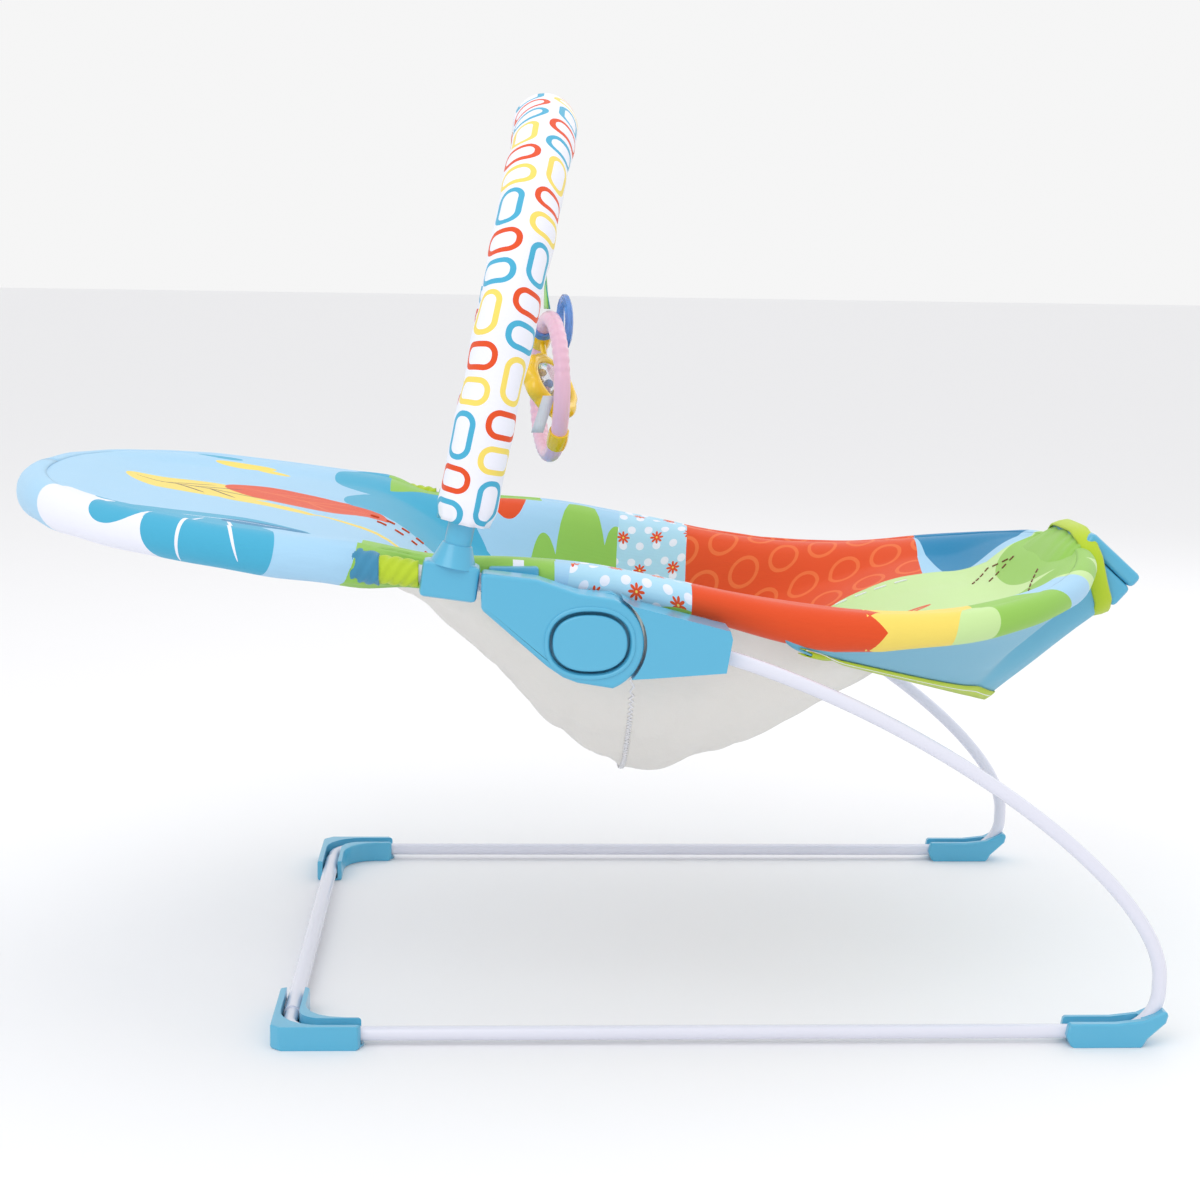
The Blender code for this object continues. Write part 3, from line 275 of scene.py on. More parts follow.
def seat_print():
    """The cover's print, with x along the seat and y across it."""
    p = Print("seat_print", SKY)
    # head: cloud and leaf on the right, petals and leaf in the middle, patches on the left
    p.ovals(CLOUD, (-0.330, -0.185, 0.047, 0.062), (-0.288, -0.165, 0.036, 0.046),
            (-0.318, -0.245, 0.046, 0.040))
    p.ovals(TEAL, (-0.262, -0.140, 0.070, 0.038, 14), (-0.258, -0.178, 0.056, 0.030, -6),
            (-0.300, -0.192, 0.026, 0.020, 10), (-0.249, -0.232, 0.043, 0.042, 0))
    p.ovals(TEAL_DEEP, (-0.222, -0.135, 0.030, 0.024, 20))
    p.ovals(CLOUD, (-0.262, -0.158, 0.062, 0.0013, 12), (-0.262, -0.138, 0.058, 0.0011, 24),
            (-0.236, -0.214, 0.0012, 0.034, 12), (-0.264, -0.222, 0.0012, 0.030, -18))
    p.ovals(YELLOW, (-0.292, 0.045, 0.056, 0.036, -12), (-0.172, -0.028, 0.084, 0.005, -24),
            (-0.240, 0.004, 0.040, 0.012, -22))
    p.ovals(ORANGE, (-0.214, 0.062, 0.062, 0.038, -16))
    p.ovals(ORANGE_LIGHT, (-0.214, 0.062, 0.054, 0.0014, -16), (-0.200, 0.070, 0.026, 0.0012, 24),
            (-0.226, 0.076, 0.026, 0.0012, 24), (-0.204, 0.048, 0.024, 0.0012, -56))
    p.ovals(BROWN, (-0.292, 0.045, 0.050, 0.0013, -12), (-0.300, 0.058, 0.022, 0.0012, 26),
            (-0.278, 0.054, 0.020, 0.0012, 26), (-0.296, 0.034, 0.020, 0.0012, -50),
            (-0.272, 0.030, 0.018, 0.0012, -50))
    p.ovals(YELLOW, (-0.270, 0.176, 0.024, 0.006, 8), (-0.248, 0.170, 0.014, 0.005, -20))
    p.ovals(TEAL, (-0.292, 0.186, 0.018, 0.005, 10), (-0.128, 0.118, 0.062, 0.050, 24),
            (-0.150, 0.186, 0.050, 0.040, 0))
    # waist: petal, bush and the green rims with their white tags
    p.ovals(ORANGE, (-0.060, 0.180, 0.016, 0.014, -10))
    p.ovals(GREEN, (0.000, 0.086, 0.034, 0.094, 0), (-0.030, 0.130, 0.018, 0.034, 0),
            (0.028, 0.140, 0.016, 0.030, 0), (-0.026, 0.010, 0.024, 0.050, 0),
            (-0.010, -0.050, 0.026, 0.040, 0))
    p.boxes(GREEN, (-0.094, -0.222, 0.062, 0.046), (-0.094, 0.222, 0.062, 0.046))
    p.boxes(CLOUD, (-0.055, -0.206, 0.0035, 0.012), (-0.055, 0.206, 0.0035, 0.012))
    # band of dots and eight-petal flowers across the seat
    patch = p.box(0.046, 0.0, 0.040, 0.300, -8)
    p.lay(patch, PETAL_SKY)
    dot = p.math("LESS_THAN", p.cell(0.0135)[2], 0.24)
    p.lay(p.math("MULTIPLY", patch, dot), CLOUD)
    u, v, reach = p.cell(0.0270, 0.25)
    petals = p.math("ABSOLUTE", p.math("COSINE", p.math("MULTIPLY", p.math("ARCTAN2", v, u), 4.0)))
    edge = p.math("MULTIPLY_ADD", petals, 0.13, 0.07)
    p.lay(p.math("MULTIPLY", patch, p.math("LESS_THAN", reach, edge)), ORANGE)
    p.lay(p.math("MULTIPLY", patch, p.math("LESS_THAN", reach, 0.030)), YELLOW)
    # ringed patch and deep blue corner on the left
    far = p.box(0.180, 0.180, 0.094, 0.084, -4)
    p.lay(far, ORANGE)
    reach = p.cell(0.0330)[2]
    ring = p.math("LESS_THAN", p.math("ABSOLUTE", p.math("SUBTRACT", reach, 0.34)), 0.045)
    p.lay(p.math("MULTIPLY", far, ring), ORANGE_LIGHT)
    p.boxes(TEAL_DEEP, (0.332, 0.186, 0.060, 0.110, 6))
    # pale middle of the foot end, with slim leaves
    p.ovals(GREEN, (0.124, -0.030, 0.032, 0.074, 0))
    p.ovals(PALE_GREEN, (0.228, 0.000, 0.104, 0.104, 0))
    p.boxes(PALE_GREEN, (0.300, -0.030, 0.070, 0.090, 0))
    p.ovals(GREEN, (0.338, -0.010, 0.030, 0.070, 0), (0.300, -0.100, 0.060, 0.020, 12))
    p.ovals(BROWN, (0.166, -0.018, 0.028, 0.008, 24), (0.200, -0.046, 0.026, 0.007, -14),
            (0.214, -0.010, 0.026, 0.0009, -40))
    p.ovals(ORANGE, (0.188, 0.012, 0.020, 0.006, 10), (0.226, -0.046, 0.020, 0.006, 34),
            (0.236, -0.012, 0.018, 0.006, -20))
    p.ovals(PALE_GREEN, (0.166, -0.018, 0.024, 0.0009, 24), (0.200, -0.046, 0.022, 0.0009, -14),
            (0.226, -0.046, 0.016, 0.0008, 34), (0.236, -0.012, 0.014, 0.0008, -20))
    # patches along the right rim
    p.ovals(YELLOW, (0.150, -0.158, 0.080, 0.026, 4))
    p.ovals(GREEN, (0.048, -0.228, 0.026, 0.018, 0))
    p.boxes(ORANGE, (0.114, -0.226, 0.058, 0.058))
    p.ovals(ORANGE, (0.100, -0.170, 0.052, 0.012, 0), (0.150, -0.176, 0.030, 0.010, 4))
    p.boxes(YELLOW, (0.208, -0.226, 0.038, 0.062))
    p.boxes(ORANGE, (0.172, -0.186, 0.007, 0.007, 45), (0.172, -0.206, 0.008, 0.008, 45),
            (0.172, -0.226, 0.007, 0.007, 45))
    p.boxes(GREEN, (0.296, -0.222, 0.052, 0.070))
    p.ovals(PALE_GREEN, (0.246, -0.206, 0.016, 0.030, 0))
    bumps = [(p.noise(18.0, 3.0), 0.0016), (threads(p, 420.0), 0.00010)]
    return p.finish(p.colour, 0.08, bumps)


def sleeve_print():
    """Rounded outline rings in columns: one upright, then two lying, each column shifted."""
    p = Print("sleeve_print", rgb(238, 239, 250))
    column, period, stroke = 0.0267, 0.0740, 0.0017
    parts = p.node("ShaderNodeSeparateXYZ")
    p.put(p.flat, parts.inputs[0])
    around = p.math("ADD", p.math("DIVIDE", parts.outputs[1], column), 16.0)
    index = p.math("FLOOR", around)
    v = p.math("ABSOLUTE", p.math("MULTIPLY", p.math("SUBTRACT", p.math("FRACT", around), 0.5), column))
    turns = p.math("ADD", p.math("DIVIDE", parts.outputs[0], period), p.math("MULTIPLY", index, 0.5))
    repeat = p.math("FLOOR", turns)
    t = p.math("MULTIPLY", p.math("FRACT", turns), period)
    upright = p.math("LESS_THAN", t, 0.0320)
    last = p.math("GREATER_THAN", t, 0.0530)
    lying = p.math("SUBTRACT", 1.0, upright)
    centre = p.math("MULTIPLY_ADD", lying, 0.0265, 0.0160)
    centre = p.math("MULTIPLY_ADD", last, 0.0210, centre)
    u = p.math("ABSOLUTE", p.math("SUBTRACT", t, centre))
    core_u = p.math("MULTIPLY_ADD", upright, 0.0056, 0.0006)
    core_v = p.math("MULTIPLY_ADD", lying, 0.0042, 0.0006)
    radius = p.math("MULTIPLY_ADD", upright, 0.0004, 0.0062)
    du = p.math("MAXIMUM", p.math("SUBTRACT", u, core_u), 0.0)
    dv = p.math("MAXIMUM", p.math("SUBTRACT", v, core_v), 0.0)
    reach = p.length(du, dv)
    ring = p.math("LESS_THAN", p.math("ABSOLUTE", p.math("SUBTRACT", reach, radius)), stroke)
    odd = p.math("MODULO", p.math("ADD", repeat, index), 2.0)
    standing = p.mix(odd, TEAL, YELLOW)
    laid = p.mix(last, p.mix(odd, YELLOW, TEAL), ORANGE)
    p.lay(ring, p.mix(upright, laid, standing))
    bumps = [(p.noise(26.0, 3.0), 0.0016), (threads(p, 420.0), 0.00010)]
    return p.finish(p.colour, 0.06, bumps)


BLUE = plastic("blue_plastic", PLASTIC)
WHITE_TUBE = metal("tube_paint", rgb(226, 227, 240), 0.26, 0.0)
STEEL = metal("zinc_steel", rgb(180, 182, 186), 0.32, 1.0)
DARK = plastic("dark_plastic", rgb(40, 42, 48), 0.45, 0.1)
LILAC = plastic("lilac_panel", rgb(214, 208, 238))
GEAR = plastic("gear_plastic", rgb(224, 224, 228), 0.4, 0.0)
PINK = plastic("pink_plastic", rgb(238, 190, 212), 0.3, 0.25)
SUN = plastic("yellow_plastic", rgb(244, 200, 30), 0.2, 0.5)
GREEN_BEAD = plastic("green_bead", rgb(120, 200, 110))
RED_BEAD = plastic("red_bead", rgb(214, 60, 60))
CLEAR = clear("clear_plastic", rgb(236, 238, 244))
CLEAR_BLUE = clear("clear_blue_plastic", rgb(120, 170, 240), 0.45, 0.1)
SEAT_PRINT = seat_print()
SLEEVE_PRINT = sleeve_print()
LINER = cloth("liner_felt", rgb(232, 229, 224), 260.0, 0.0060, 0.2, 0.9)
BACKING = cloth("backing_cloth", rgb(206, 214, 224), 420.0, 0.0008)
SKIRT_CLOTH = cloth("skirt_cloth", SKIRT, 420.0, 0.0010)
BLUE_CLOTH = cloth("blue_gather", rgb(66, 140, 178), 420.0, 0.0010)
LIME_TAPE = cloth("lime_tape", LIME, 300.0, 0.0004)
GREEN_CLOTH = cloth("green_cloth", GREEN, 420.0, 0.0010)
RIBBON_TEAL = cloth("teal_ribbon", rgb(50, 170, 168), 300.0, 0.0003, 0.4, 0.45)
RIBBON_GREEN = cloth("green_ribbon", rgb(150, 214, 96), 300.0, 0.0003, 0.4, 0.45)
WEBBING = cloth("webbing", rgb(214, 216, 222), 200.0, 0.0003)
THREAD_BROWN = cloth("brown_thread", rgb(120, 70, 48), 500.0, 0.0001)
THREAD_WHITE = cloth("white_thread", rgb(240, 240, 244), 500.0, 0.0001)
THREAD_ORANGE = cloth("orange_thread", rgb(214, 84, 44), 500.0, 0.0001)
CELL = metal("cell_foil", rgb(150, 52, 34), 0.35, 0.4)


# ---------------------------------------------------------------- mesh tools
def smooth_step(t):
    t = max(0.0, min(1.0, t))
    return t * t * (3 - 2 * t)


def blend(low, high, t):
    return low + (high - low) * smooth_step(t)


def evaluated(obj):
    """The object with its modifiers applied, or a curve as a mesh."""
    graph = bpy.context.evaluated_depsgraph_get()
    mesh = bpy.data.meshes.new_from_object(obj.evaluated_get(graph))
    made = bpy.data.objects.new(obj.name + "_mesh", mesh)
    name = obj.name
    bpy.data.objects.remove(obj)
    made.name = name
    scene.collection.objects.link(made)
    return made


def from_bmesh(bm, name):
    mesh = bpy.data.meshes.new(name)
    bm.to_mesh(mesh)
    bm.free()
    obj = bpy.data.objects.new(name, mesh)
    scene.collection.objects.link(obj)
    return obj


def settle(obj, body, look, replaced=()):
    """Gives a finished piece its material and body, and hides the CAD nodes that it stands for."""
    obj.data.materials.clear()
    obj.data.materials.append(look)
    for face in obj.data.polygons:
        face.use_smooth = True
    if body:
        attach(obj, body)
    if replaced:
        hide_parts(*replaced)
    return obj


def grid(name, rows, body, look, uv=None, around=False, thick=0.0, replaced=(), capped=False):
    """A surface through rows of points.

    uv holds (x, y) or (x, y, length) for each point: its place on the flat print, and its distance
    over the cloth, which small repeating patterns follow."""
    bm = bmesh.new()
    bm.loops.layers.uv.new("print")
    bm.loops.layers.uv.new("run")
    flat, run = bm.loops.layers.uv["print"], bm.loops.layers.uv["run"]
    verts = [[bm.verts.new(point) for point in row] for row in rows]
    count = len(rows[0])
    for i in range(len(rows) - 1):
        for j in range(count if around else count - 1):
            k = (j + 1) % count
            face = bm.faces.new((verts[i][j], verts[i][k], verts[i + 1][k], verts[i + 1][j]))
            if uv:
                corners = (uv[i][j], uv[i][j + 1], uv[i + 1][j + 1], uv[i + 1][j])
                for loop, at in zip(face.loops, corners):
                    loop[flat].uv = at[:2]
                    loop[run].uv = (at[0], at[-1])
    if capped:
        bm.faces.new(verts[0])
        bm.faces.new(verts[-1])
    bmesh.ops.recalc_face_normals(bm, faces=bm.faces)
    obj = from_bmesh(bm, name)
    if thick:
        skin = obj.modifiers.new("skin", "SOLIDIFY")
        skin.thickness = thick
        skin.offset = 0.0
        obj = evaluated(obj)
    return settle(obj, body, look, replaced)


def pipe(name, points, radius, body, look, radii=None, closed=False, replaced=(), resolution=5):
    """A round tube through points; radii scale its radius at each of them."""
    data = bpy.data.curves.new(name, "CURVE")
    data.dimensions = "3D"
    data.bevel_depth = radius
    data.bevel_resolution = resolution
    data.use_fill_caps = True
    spline = data.splines.new("POLY")
    spline.points.add(len(points) - 1)
    for i, point in enumerate(points):
        spline.points[i].co = (*point, 1.0)
        spline.points[i].radius = radii[i] if radii else 1.0
    spline.use_cyclic_u = closed
    obj = bpy.data.objects.new(name, data)
    scene.collection.objects.link(obj)
    return settle(evaluated(obj), body, look, replaced)


def plate(name, outline, ys, bevel, body, look, replaced=(), cut=None):
    """An outline in XZ with thickness between two ys, rounded edges and an optional cut-out."""
    y_low, y_high = sorted(ys)
    bm = bmesh.new()
    near = [bm.verts.new((x, y_low, z)) for x, z in outline]
    far = [bm.verts.new((x, y_high, z)) for x, z in outline]
    bm.faces.new(near)
    bm.faces.new(far[::-1])
    for i in range(len(outline)):
        k = (i + 1) % len(outline)
        bm.faces.new((near[i], near[k], far[k], far[i]))
    bmesh.ops.recalc_face_normals(bm, faces=bm.faces)
    obj = from_bmesh(bm, name)
    if cut:
        hole = obj.modifiers.new("hole", "BOOLEAN")
        hole.solver = "EXACT"
        hole.object = cut
    edge = obj.modifiers.new("edge", "BEVEL")
    edge.width = bevel
    edge.segments = 4
    edge.limit_method = "ANGLE"
    edge.angle_limit = math.radians(40)
    obj = evaluated(obj)
    if cut:
        bpy.data.objects.remove(cut)
    obj = settle(obj, None, look)
    obj.modifiers.new("shade", "WEIGHTED_NORMAL").keep_sharp = True
    obj = evaluated(obj)
    return settle(obj, body, look, replaced)


def arc(centre, radius, start, end, steps):
    angles = [math.radians(start + (end - start) * i / steps) for i in range(steps + 1)]
    return [(centre[0] + radius * math.cos(a), centre[1] + radius * math.sin(a)) for a in angles]


def soften(name, look, width=0.0008):
    """A CAD piece shown as it is, with its edges rounded."""
    obj = nodes[name]
    obj.data.materials.clear()
    obj.data.materials.append(look)
    for face in obj.data.polygons:
        face.use_smooth = True
    obj.modifiers.new("weld", "WELD").merge_threshold = 0.00002
    edge = obj.modifiers.new("edge", "BEVEL")
    edge.width = width
    edge.segments = 3
    edge.limit_method = "ANGLE"
    edge.angle_limit = math.radians(38)
    obj.modifiers.new("shade", "WEIGHTED_NORMAL").keep_sharp = True


def rumple(point, scale, amount):
    return amount * noise.noise(Vector(point) * scale)


# ---------------------------------------------------------------- base and seat tubes
def bezier(p0, p1, p2, p3, steps):
    points = []
    for i in range(steps + 1):
        t = i / steps
        w = ((1 - t) ** 3, 3 * (1 - t) ** 2 * t, 3 * (1 - t) * t ** 2, t ** 3)
        points.append(tuple(sum(k * p[n] for k, p in zip(w, (p0, p1, p2, p3))) for n in range(2)))
    return points


def base_tubes():
    top, foot, slope = (0.0338, 0.2673), (FRONT_X, 0.0435), math.radians(11.0)
    pull = (top[0] + 0.149 * math.cos(slope), top[1] - 0.149 * math.sin(slope))
    leg = bezier(top, pull, (foot[0], foot[1] + 0.0683), foot, 60)
    bend = arc((FRONT_X - 0.0275, RAIL_Z + 0.0275), 0.0275, 0, -90, 14)
    for word, side in SIDES:
        path = [(x, side * TRACK, z) for x, z in leg + bend]
        corner = (REAR_X + 0.022, side * (TRACK - 0.022))
        path += [(x, y, RAIL_Z) for x, y in arc(corner, 0.022, 90 * side, 180 * side, 14)]
        path.append((REAR_X, side * 0.160, RAIL_Z))
        pipe(f"side_tube_smooth_{word}", path, BASE_R, "base", WHITE_TUBE, replaced=(f"side_tube_{word}",))
    ends = [(REAR_X, -0.183, RAIL_Z), (REAR_X, 0.183, RAIL_Z)]
    pipe("rear_crossbar_smooth", ends, CROSSBAR_R, "base", WHITE_TUBE, replaced=("rear_crossbar",))


# ---------------------------------------------------------------- the seat's outline
def back_tube_z(x):
    return 0.3078 + 0.130 * (-0.117 - x)


def front_tube_z(x):
    rise = max(0.0, (x - 0.2) / 0.155)
    return 0.2690 + 0.0345 * (1 - smooth_step((x + 0.07) / 0.26)) + 0.0284 * rise ** 2


def half_at(x):
    """Half width between the tubes' centre lines, as the cover follows them."""
    if x < HEAD_CENTRE_X:
        c = min(1.0, (HEAD_CENTRE_X - x) / HEAD_LENGTH) ** (1 / HEAD_ROUND)
        return TRACK * max(0.0, 1 - c * c) ** (HEAD_ROUND / 2)
    if x < -0.120:
        return blend(TRACK, WAIST_Y, (x + 0.172) / 0.050)
    if x < FRONT_CURVE_X:
        return blend(WAIST_Y, FRONT_Y, (x + 0.120) / 0.045)
    t = min(1.0, (x - FRONT_CURVE_X) / FRONT_LENGTH)
    return FRONT_Y * math.sqrt(max(0.0, 1 - t ** (2 / FRONT_ROUND)))


def tube_at(x):
    return blend(back_tube_z(x), front_tube_z(x), (x + 0.165) / 0.090)


def roll_at(x):
    """Radius of the fabric where it wraps the tube."""
    return blend(0.0135, 0.0104, (x + 0.165) / 0.045) - 0.0014 * smooth_step((x - 0.25) / 0.08)


def hollow_depth(x):
    """Height of the liner's lowest line."""
    rear = 0.298 - 0.150 * smooth_step((x + 0.175) / 0.210)
    front = 0.148 + 0.112 * smooth_step((x - 0.035) / 0.265)
    return rear if x < 0.035 else front


def bottom_at(x):
    """Height of the upper cloth's lowest line, before its lift."""
    sag = 0.010 * smooth_step((x + 0.386) / 0.070)
    low = blend(tube_at(x) - sag, hollow_depth(x), (x + 0.250) / 0.150)
    return blend(low, tube_at(x) - 0.003, (x - 0.285) / 0.050)


def under_point(x, share, half, rim):
    """A point of the hollow; share goes from -1 at the right rim to 1 at the left."""
    bottom = min(bottom_at(x), rim)
    flat = 1 - abs(share) ** 3.2
    inside = smooth_step((0.925 - abs(share)) / 0.150)
    return Vector((x, half * share, rim - (rim - bottom) * flat * inside))


def top_point(x, share, lift=None):
    """A point of the seat's upper cloth, raised square to the surface under it."""
    half, rim = half_at(x), tube_at(x)
    wide = max(half, 0.02)
    centre = under_point(x, share, half, rim)
    ahead = under_point(x + X_STEP, share, half, tube_at(x + X_STEP))
    behind = under_point(x - X_STEP, share, half, tube_at(x - X_STEP))
    outer = under_point(x, share + SHARE_STEP, wide, rim)
    inner = under_point(x, share - SHARE_STEP, wide, rim)
    raised = roll_at(x) - ROLL_INSET if lift is None else lift
    return centre + (ahead - behind).cross(outer - inner).normalized() * raised


def top_surface(x, share, lift=None):
    """The upper cloth with its soft wrinkles, which fade out at the rim."""
    point = top_point(x, share, lift)
    calm = 1 - abs(share) ** 6
    wrinkle = rumple(point, 13.0, 0.0030) + rumple(point, 34.0, 0.0010)
    point.z += calm * wrinkle * (0.5 if x < HEAD_CALM_X else 1.0)
    return point


def droop_at(x):
    """How much longer the roll's lower half hangs, as a share of its radius."""
    return 0.55 * math.exp(-((x - 0.145) / 0.055) ** 2)


def tip_spaced(low, high, count):
    """Stations from low to high, closer together towards both ends."""
    return [low + (high - low) * (0.5 - 0.5 * math.cos(math.pi * i / count)) for i in range(count + 1)]


def edge_shares(count):
    """Shares from -1 to 1, closer together towards both rims."""
    return [math.sin(math.pi * (j / count - 0.5)) for j in range(count + 1)]


def arc_lengths(x, shares):
    """Distance over the cloth from the middle line to each share, with its sign."""
    points = [top_point(x, share) for share in shares]
    total = [0.0]
    for a, b in zip(points, points[1:]):
        total.append(total[-1] + (b - a).length)
    return [length - total[len(total) // 2] for length in total]


def seat_top():
    rows, uv = [], []
    shares = edge_shares(64)
    for x in tip_spaced(-0.3886, 0.3520, 130):
        rows.append([top_surface(x, share) for share in shares])
        runs = arc_lengths(x, shares)
        uv.append([(x, half_at(x) * share, length) for share, length in zip(shares, runs)])
    cover = grid("cover_top", rows, "seat", SEAT_PRINT, uv, thick=CLOTH_THICK,
                 replaced=("seat_cover", "head_pad"))


def rim_path():
    """The roll's closed centre line in plan: head bow, waist and front bow on both sides."""
    near = []
    for i in range(30):
        angle = math.pi / 2 * i / 30
        x = HEAD_CENTRE_X - HEAD_LENGTH * math.cos(angle) ** HEAD_ROUND
        near.append((x, TRACK * math.sin(angle) ** HEAD_ROUND))
    for i in range(62):
        x = HEAD_CENTRE_X + (FRONT_CURVE_X - HEAD_CENTRE_X) * i / 61
        near.append((x, half_at(x)))
    for i in range(1, 37):
        angle = math.pi / 2 * (1 - i / 36)
        x = FRONT_CURVE_X + FRONT_LENGTH * math.cos(angle) ** FRONT_ROUND
        near.append((x, FRONT_Y * math.sin(angle)))
    return [(x, -y) for x, y in near] + [(x, y) for x, y in near[-2:0:-1]]


def seat_rim():
    """The cloth's padded roll round the tubes, one closed band."""
    path = rim_path()
    rows, uv = [], []
    count = len(path)
    steps = 22
    for i in range(count + 1):
        x, y = path[i % count]
        (x0, y0), (x1, y1) = path[(i - 1) % count], path[(i + 1) % count]
        along = Vector((x1 - x0, y1 - y0, 0)).normalized()
        out = along.cross(Vector((0, 0, 1)))
        centre = Vector((x, y, tube_at(x)))
        radius = roll_at(x)
        gather = math.exp(-((x + 0.135) / 0.030) ** 2)
        edge = math.copysign(arc_lengths(x, edge_shares(24))[-1], y)
        row, flat = [], []
        for j in range(steps + 1):
            angle = math.radians(116 - 262 * j / steps)
            fold = rumple((x, y, angle * 0.02), 24.0, 0.0016)
            fold += gather * rumple((x * 3, y, angle * 0.4), 9.0, 0.0030)
            reach = radius + fold * smooth_step(j / 4)
            rise = reach * math.sin(angle)
            if angle < 0:
                rise *= 1 + droop_at(x)
            row.append(centre + out * (reach * math.cos(angle)) + Vector((0, 0, rise)))
            spread = radius * (math.pi / 2 - angle)
            flat.append((x + out.x * spread, y + out.y * spread, edge + out.y * spread))
        rows.append(row)
        uv.append(flat)
    rim = grid("cover_rim", rows, "seat", SEAT_PRINT, uv, thick=CLOTH_THICK)


def head_back():
    """The cloth under the head, just below the upper cloth where that dips into the hollow."""
    rows = []
    for x in tip_spaced(-0.3870, -0.1480, 40):
        row = []
        for share in edge_shares(32):
            low = tube_at(x) - roll_at(x) * 0.70 - 0.002 * (1 - share * share)
            low = min(low, top_point(x, share, -0.005).z)
            row.append(Vector((x, half_at(x) * share, low + rumple((x, share, 0), 14, 0.0012))))
        rows.append(row)
    back = grid("cover_back", rows, "seat", BACKING, thick=CLOTH_THICK)


WRAPS = (("blue", -0.174, -0.142, BLUE_CLOTH, 0.0118), ("lime", -0.145, -0.1175, LIME_TAPE, 0.0104))


def tube_wraps():
    """The cloth gathered round the head tube beside the bracket."""
    for word, side in SIDES:
        for tag, first, last, look, size in WRAPS:
            rows = []
            for i in range(25):
                x = first + (last - first) * i / 24
                taper = 1 - 0.22 * (x + 0.174) / 0.056
                row = []
                for j in range(40):
                    angle = 2 * math.pi * j / 40
                    fold = 0.0007 * math.sin(5 * angle + 900 * (x - first))
                    fold += rumple((x, angle * 0.01, side), 60.0, 0.0012)
                    reach = size * taper + fold
                    y = side * TRACK + reach * math.cos(angle)
                    row.append(Vector((x, y, back_tube_z(x) + reach * math.sin(angle))))
                rows.append(row)
            wrap = grid(f"tube_wrap_{tag}_{word}", rows, "seat", look, around=True, capped=True)


def dashes(name, places, look, dash=0.0055, gap=0.0035, radius=0.0006):
    """A broken line of stitches on the seat's upper cloth, through places (x, share)."""
    line = []
    for (x0, s0), (x1, s1) in zip(places, places[1:]):
        for i in range(24):
            t = i / 24
            x, share = x0 + (x1 - x0) * t, s0 + (s1 - s0) * t
            line.append(top_surface(x, share, roll_at(x) - ROLL_INSET + STITCH_LIFT))
    stitches, run = [], 0.0
    stitch = [line[0]]
    for a, b in zip(line, line[1:]):
        run += (b - a).length
        stitch.append(b)
        if run > dash:
            stitches.append(stitch)
            run, stitch = -gap, []
        if run < 0:
            stitch = []
        elif not stitch:
            stitch = [b]
    bm = bmesh.new()
    for points in stitches:
        if len(points) > 1:
            thread = pipe(name + "_thread", points, radius, None, look, resolution=1)
            bm.from_mesh(thread.data)
            bpy.data.objects.remove(thread)
    settle(from_bmesh(bm, name), "seat", look)


def stitching():
    dashes("stitch_front_near", [(0.235, -0.86), (0.270, -0.80), (0.305, -0.66), (0.330, -0.30)], THREAD_BROWN)
    dashes("stitch_front_far", [(0.290, 0.10), (0.310, 0.30), (0.325, 0.20), (0.300, 0.02)], THREAD_BROWN)
    wide = (THREAD_WHITE, 0.009, 0.006, 0.0008)
    dashes("stitch_green_far", [(0.130, 0.44), (0.200, 0.52), (0.270, 0.48)], *wide)
    dashes("stitch_green_near", [(0.120, -0.36), (0.160, -0.52), (0.230, -0.58)], *wide)
    bold = (THREAD_ORANGE, 0.007, 0.006, 0.0009)
    dashes("stitch_head_1", [(-0.165, 0.20), (-0.125, 0.34)], *bold)
    dashes("stitch_head_2", [(-0.160, 0.10), (-0.115, 0.22)], *bold)
    across = [(0.018, -0.92), (0.030, -0.50), (0.046, 0.0), (0.062, 0.50), (0.070, 0.90)]
    dashes("stitch_patch", across, THREAD_WHITE, 0.003, 0.002, 0.0004)


# ---------------------------------------------------------------- liner, skirt and cuff
def liner_point(x, share):
    half = min(0.197, half_at(x) + 0.006) * 0.93
    rim = tube_at(x) - 0.006
    bottom = min(hollow_depth(x), rim)
    flat = 1 - abs(share) ** 3.2
    inside = smooth_step((0.99 - abs(share)) / 0.170)
    return Vector((x, half * share, rim - (rim - bottom) * flat * inside))


def liner_surface(x, share):
    """The liner with its wrinkles and the ridge along its seam."""
    point = liner_point(x, share)
    ridge = math.exp(-((x - SEAM_X) / 0.004) ** 2)
    drawn = abs(noise.noise(Vector((x * 30, share * 2.2, 0.4))))
    drawn += abs(noise.noise(Vector((x * 9, share * 7.0, 2.4))))
    point.z += rumple(point, 16.0, 0.0060) + rumple(point, 45.0, 0.0022) - 0.0024 * ridge - 0.0050 * drawn
    return point


def liner():
    rows = []
    for i in range(121):
        x = -0.158 + 0.450 * i / 120
        rows.append([liner_surface(x, share) for share in edge_shares(80)])
    sheet = grid("liner_sheet", rows, "seat", LINER, thick=THIN_CLOTH, replaced=("seat_liner",))
    seam = []
    for j in range(241):
        point = liner_surface(SEAM_X, -0.96 + 1.92 * j / 240)
        point.z -= 0.0012
        point.x += 0.0012 * (1 if j % 2 else -1)
        seam.append(point)
    pipe("liner_seam", seam, 0.0008, "seat", THREAD_WHITE, resolution=1)


CUFF_AT = Vector((0.3630, 0.0, 0.2855))
CUFF_UP = Vector((-0.285, 0.0, 0.958)).normalized()
CUFF_OUT = Vector((0.958, 0.0, 0.285)).normalized()
CUFF_TAPE = ((-0.0062, 0.0012), (-0.0050, 0.0022), (0.0, 0.0026), (0.0050, 0.0022), (0.0062, 0.0012))
CUFF_WEB = ((-0.004, 0.0006), (-0.007, -0.005), (-0.009, -0.012))


def loop_point(centre, up, wide, high, angle):
    """A point of a rounded rectangle across the seat."""
    c, s = math.cos(angle), math.sin(angle)
    across = math.copysign(abs(c) ** 0.62, c) * wide
    rise = math.copysign(abs(s) ** 0.62, s) * high
    return centre + Vector((0, across, 0)) + up * rise


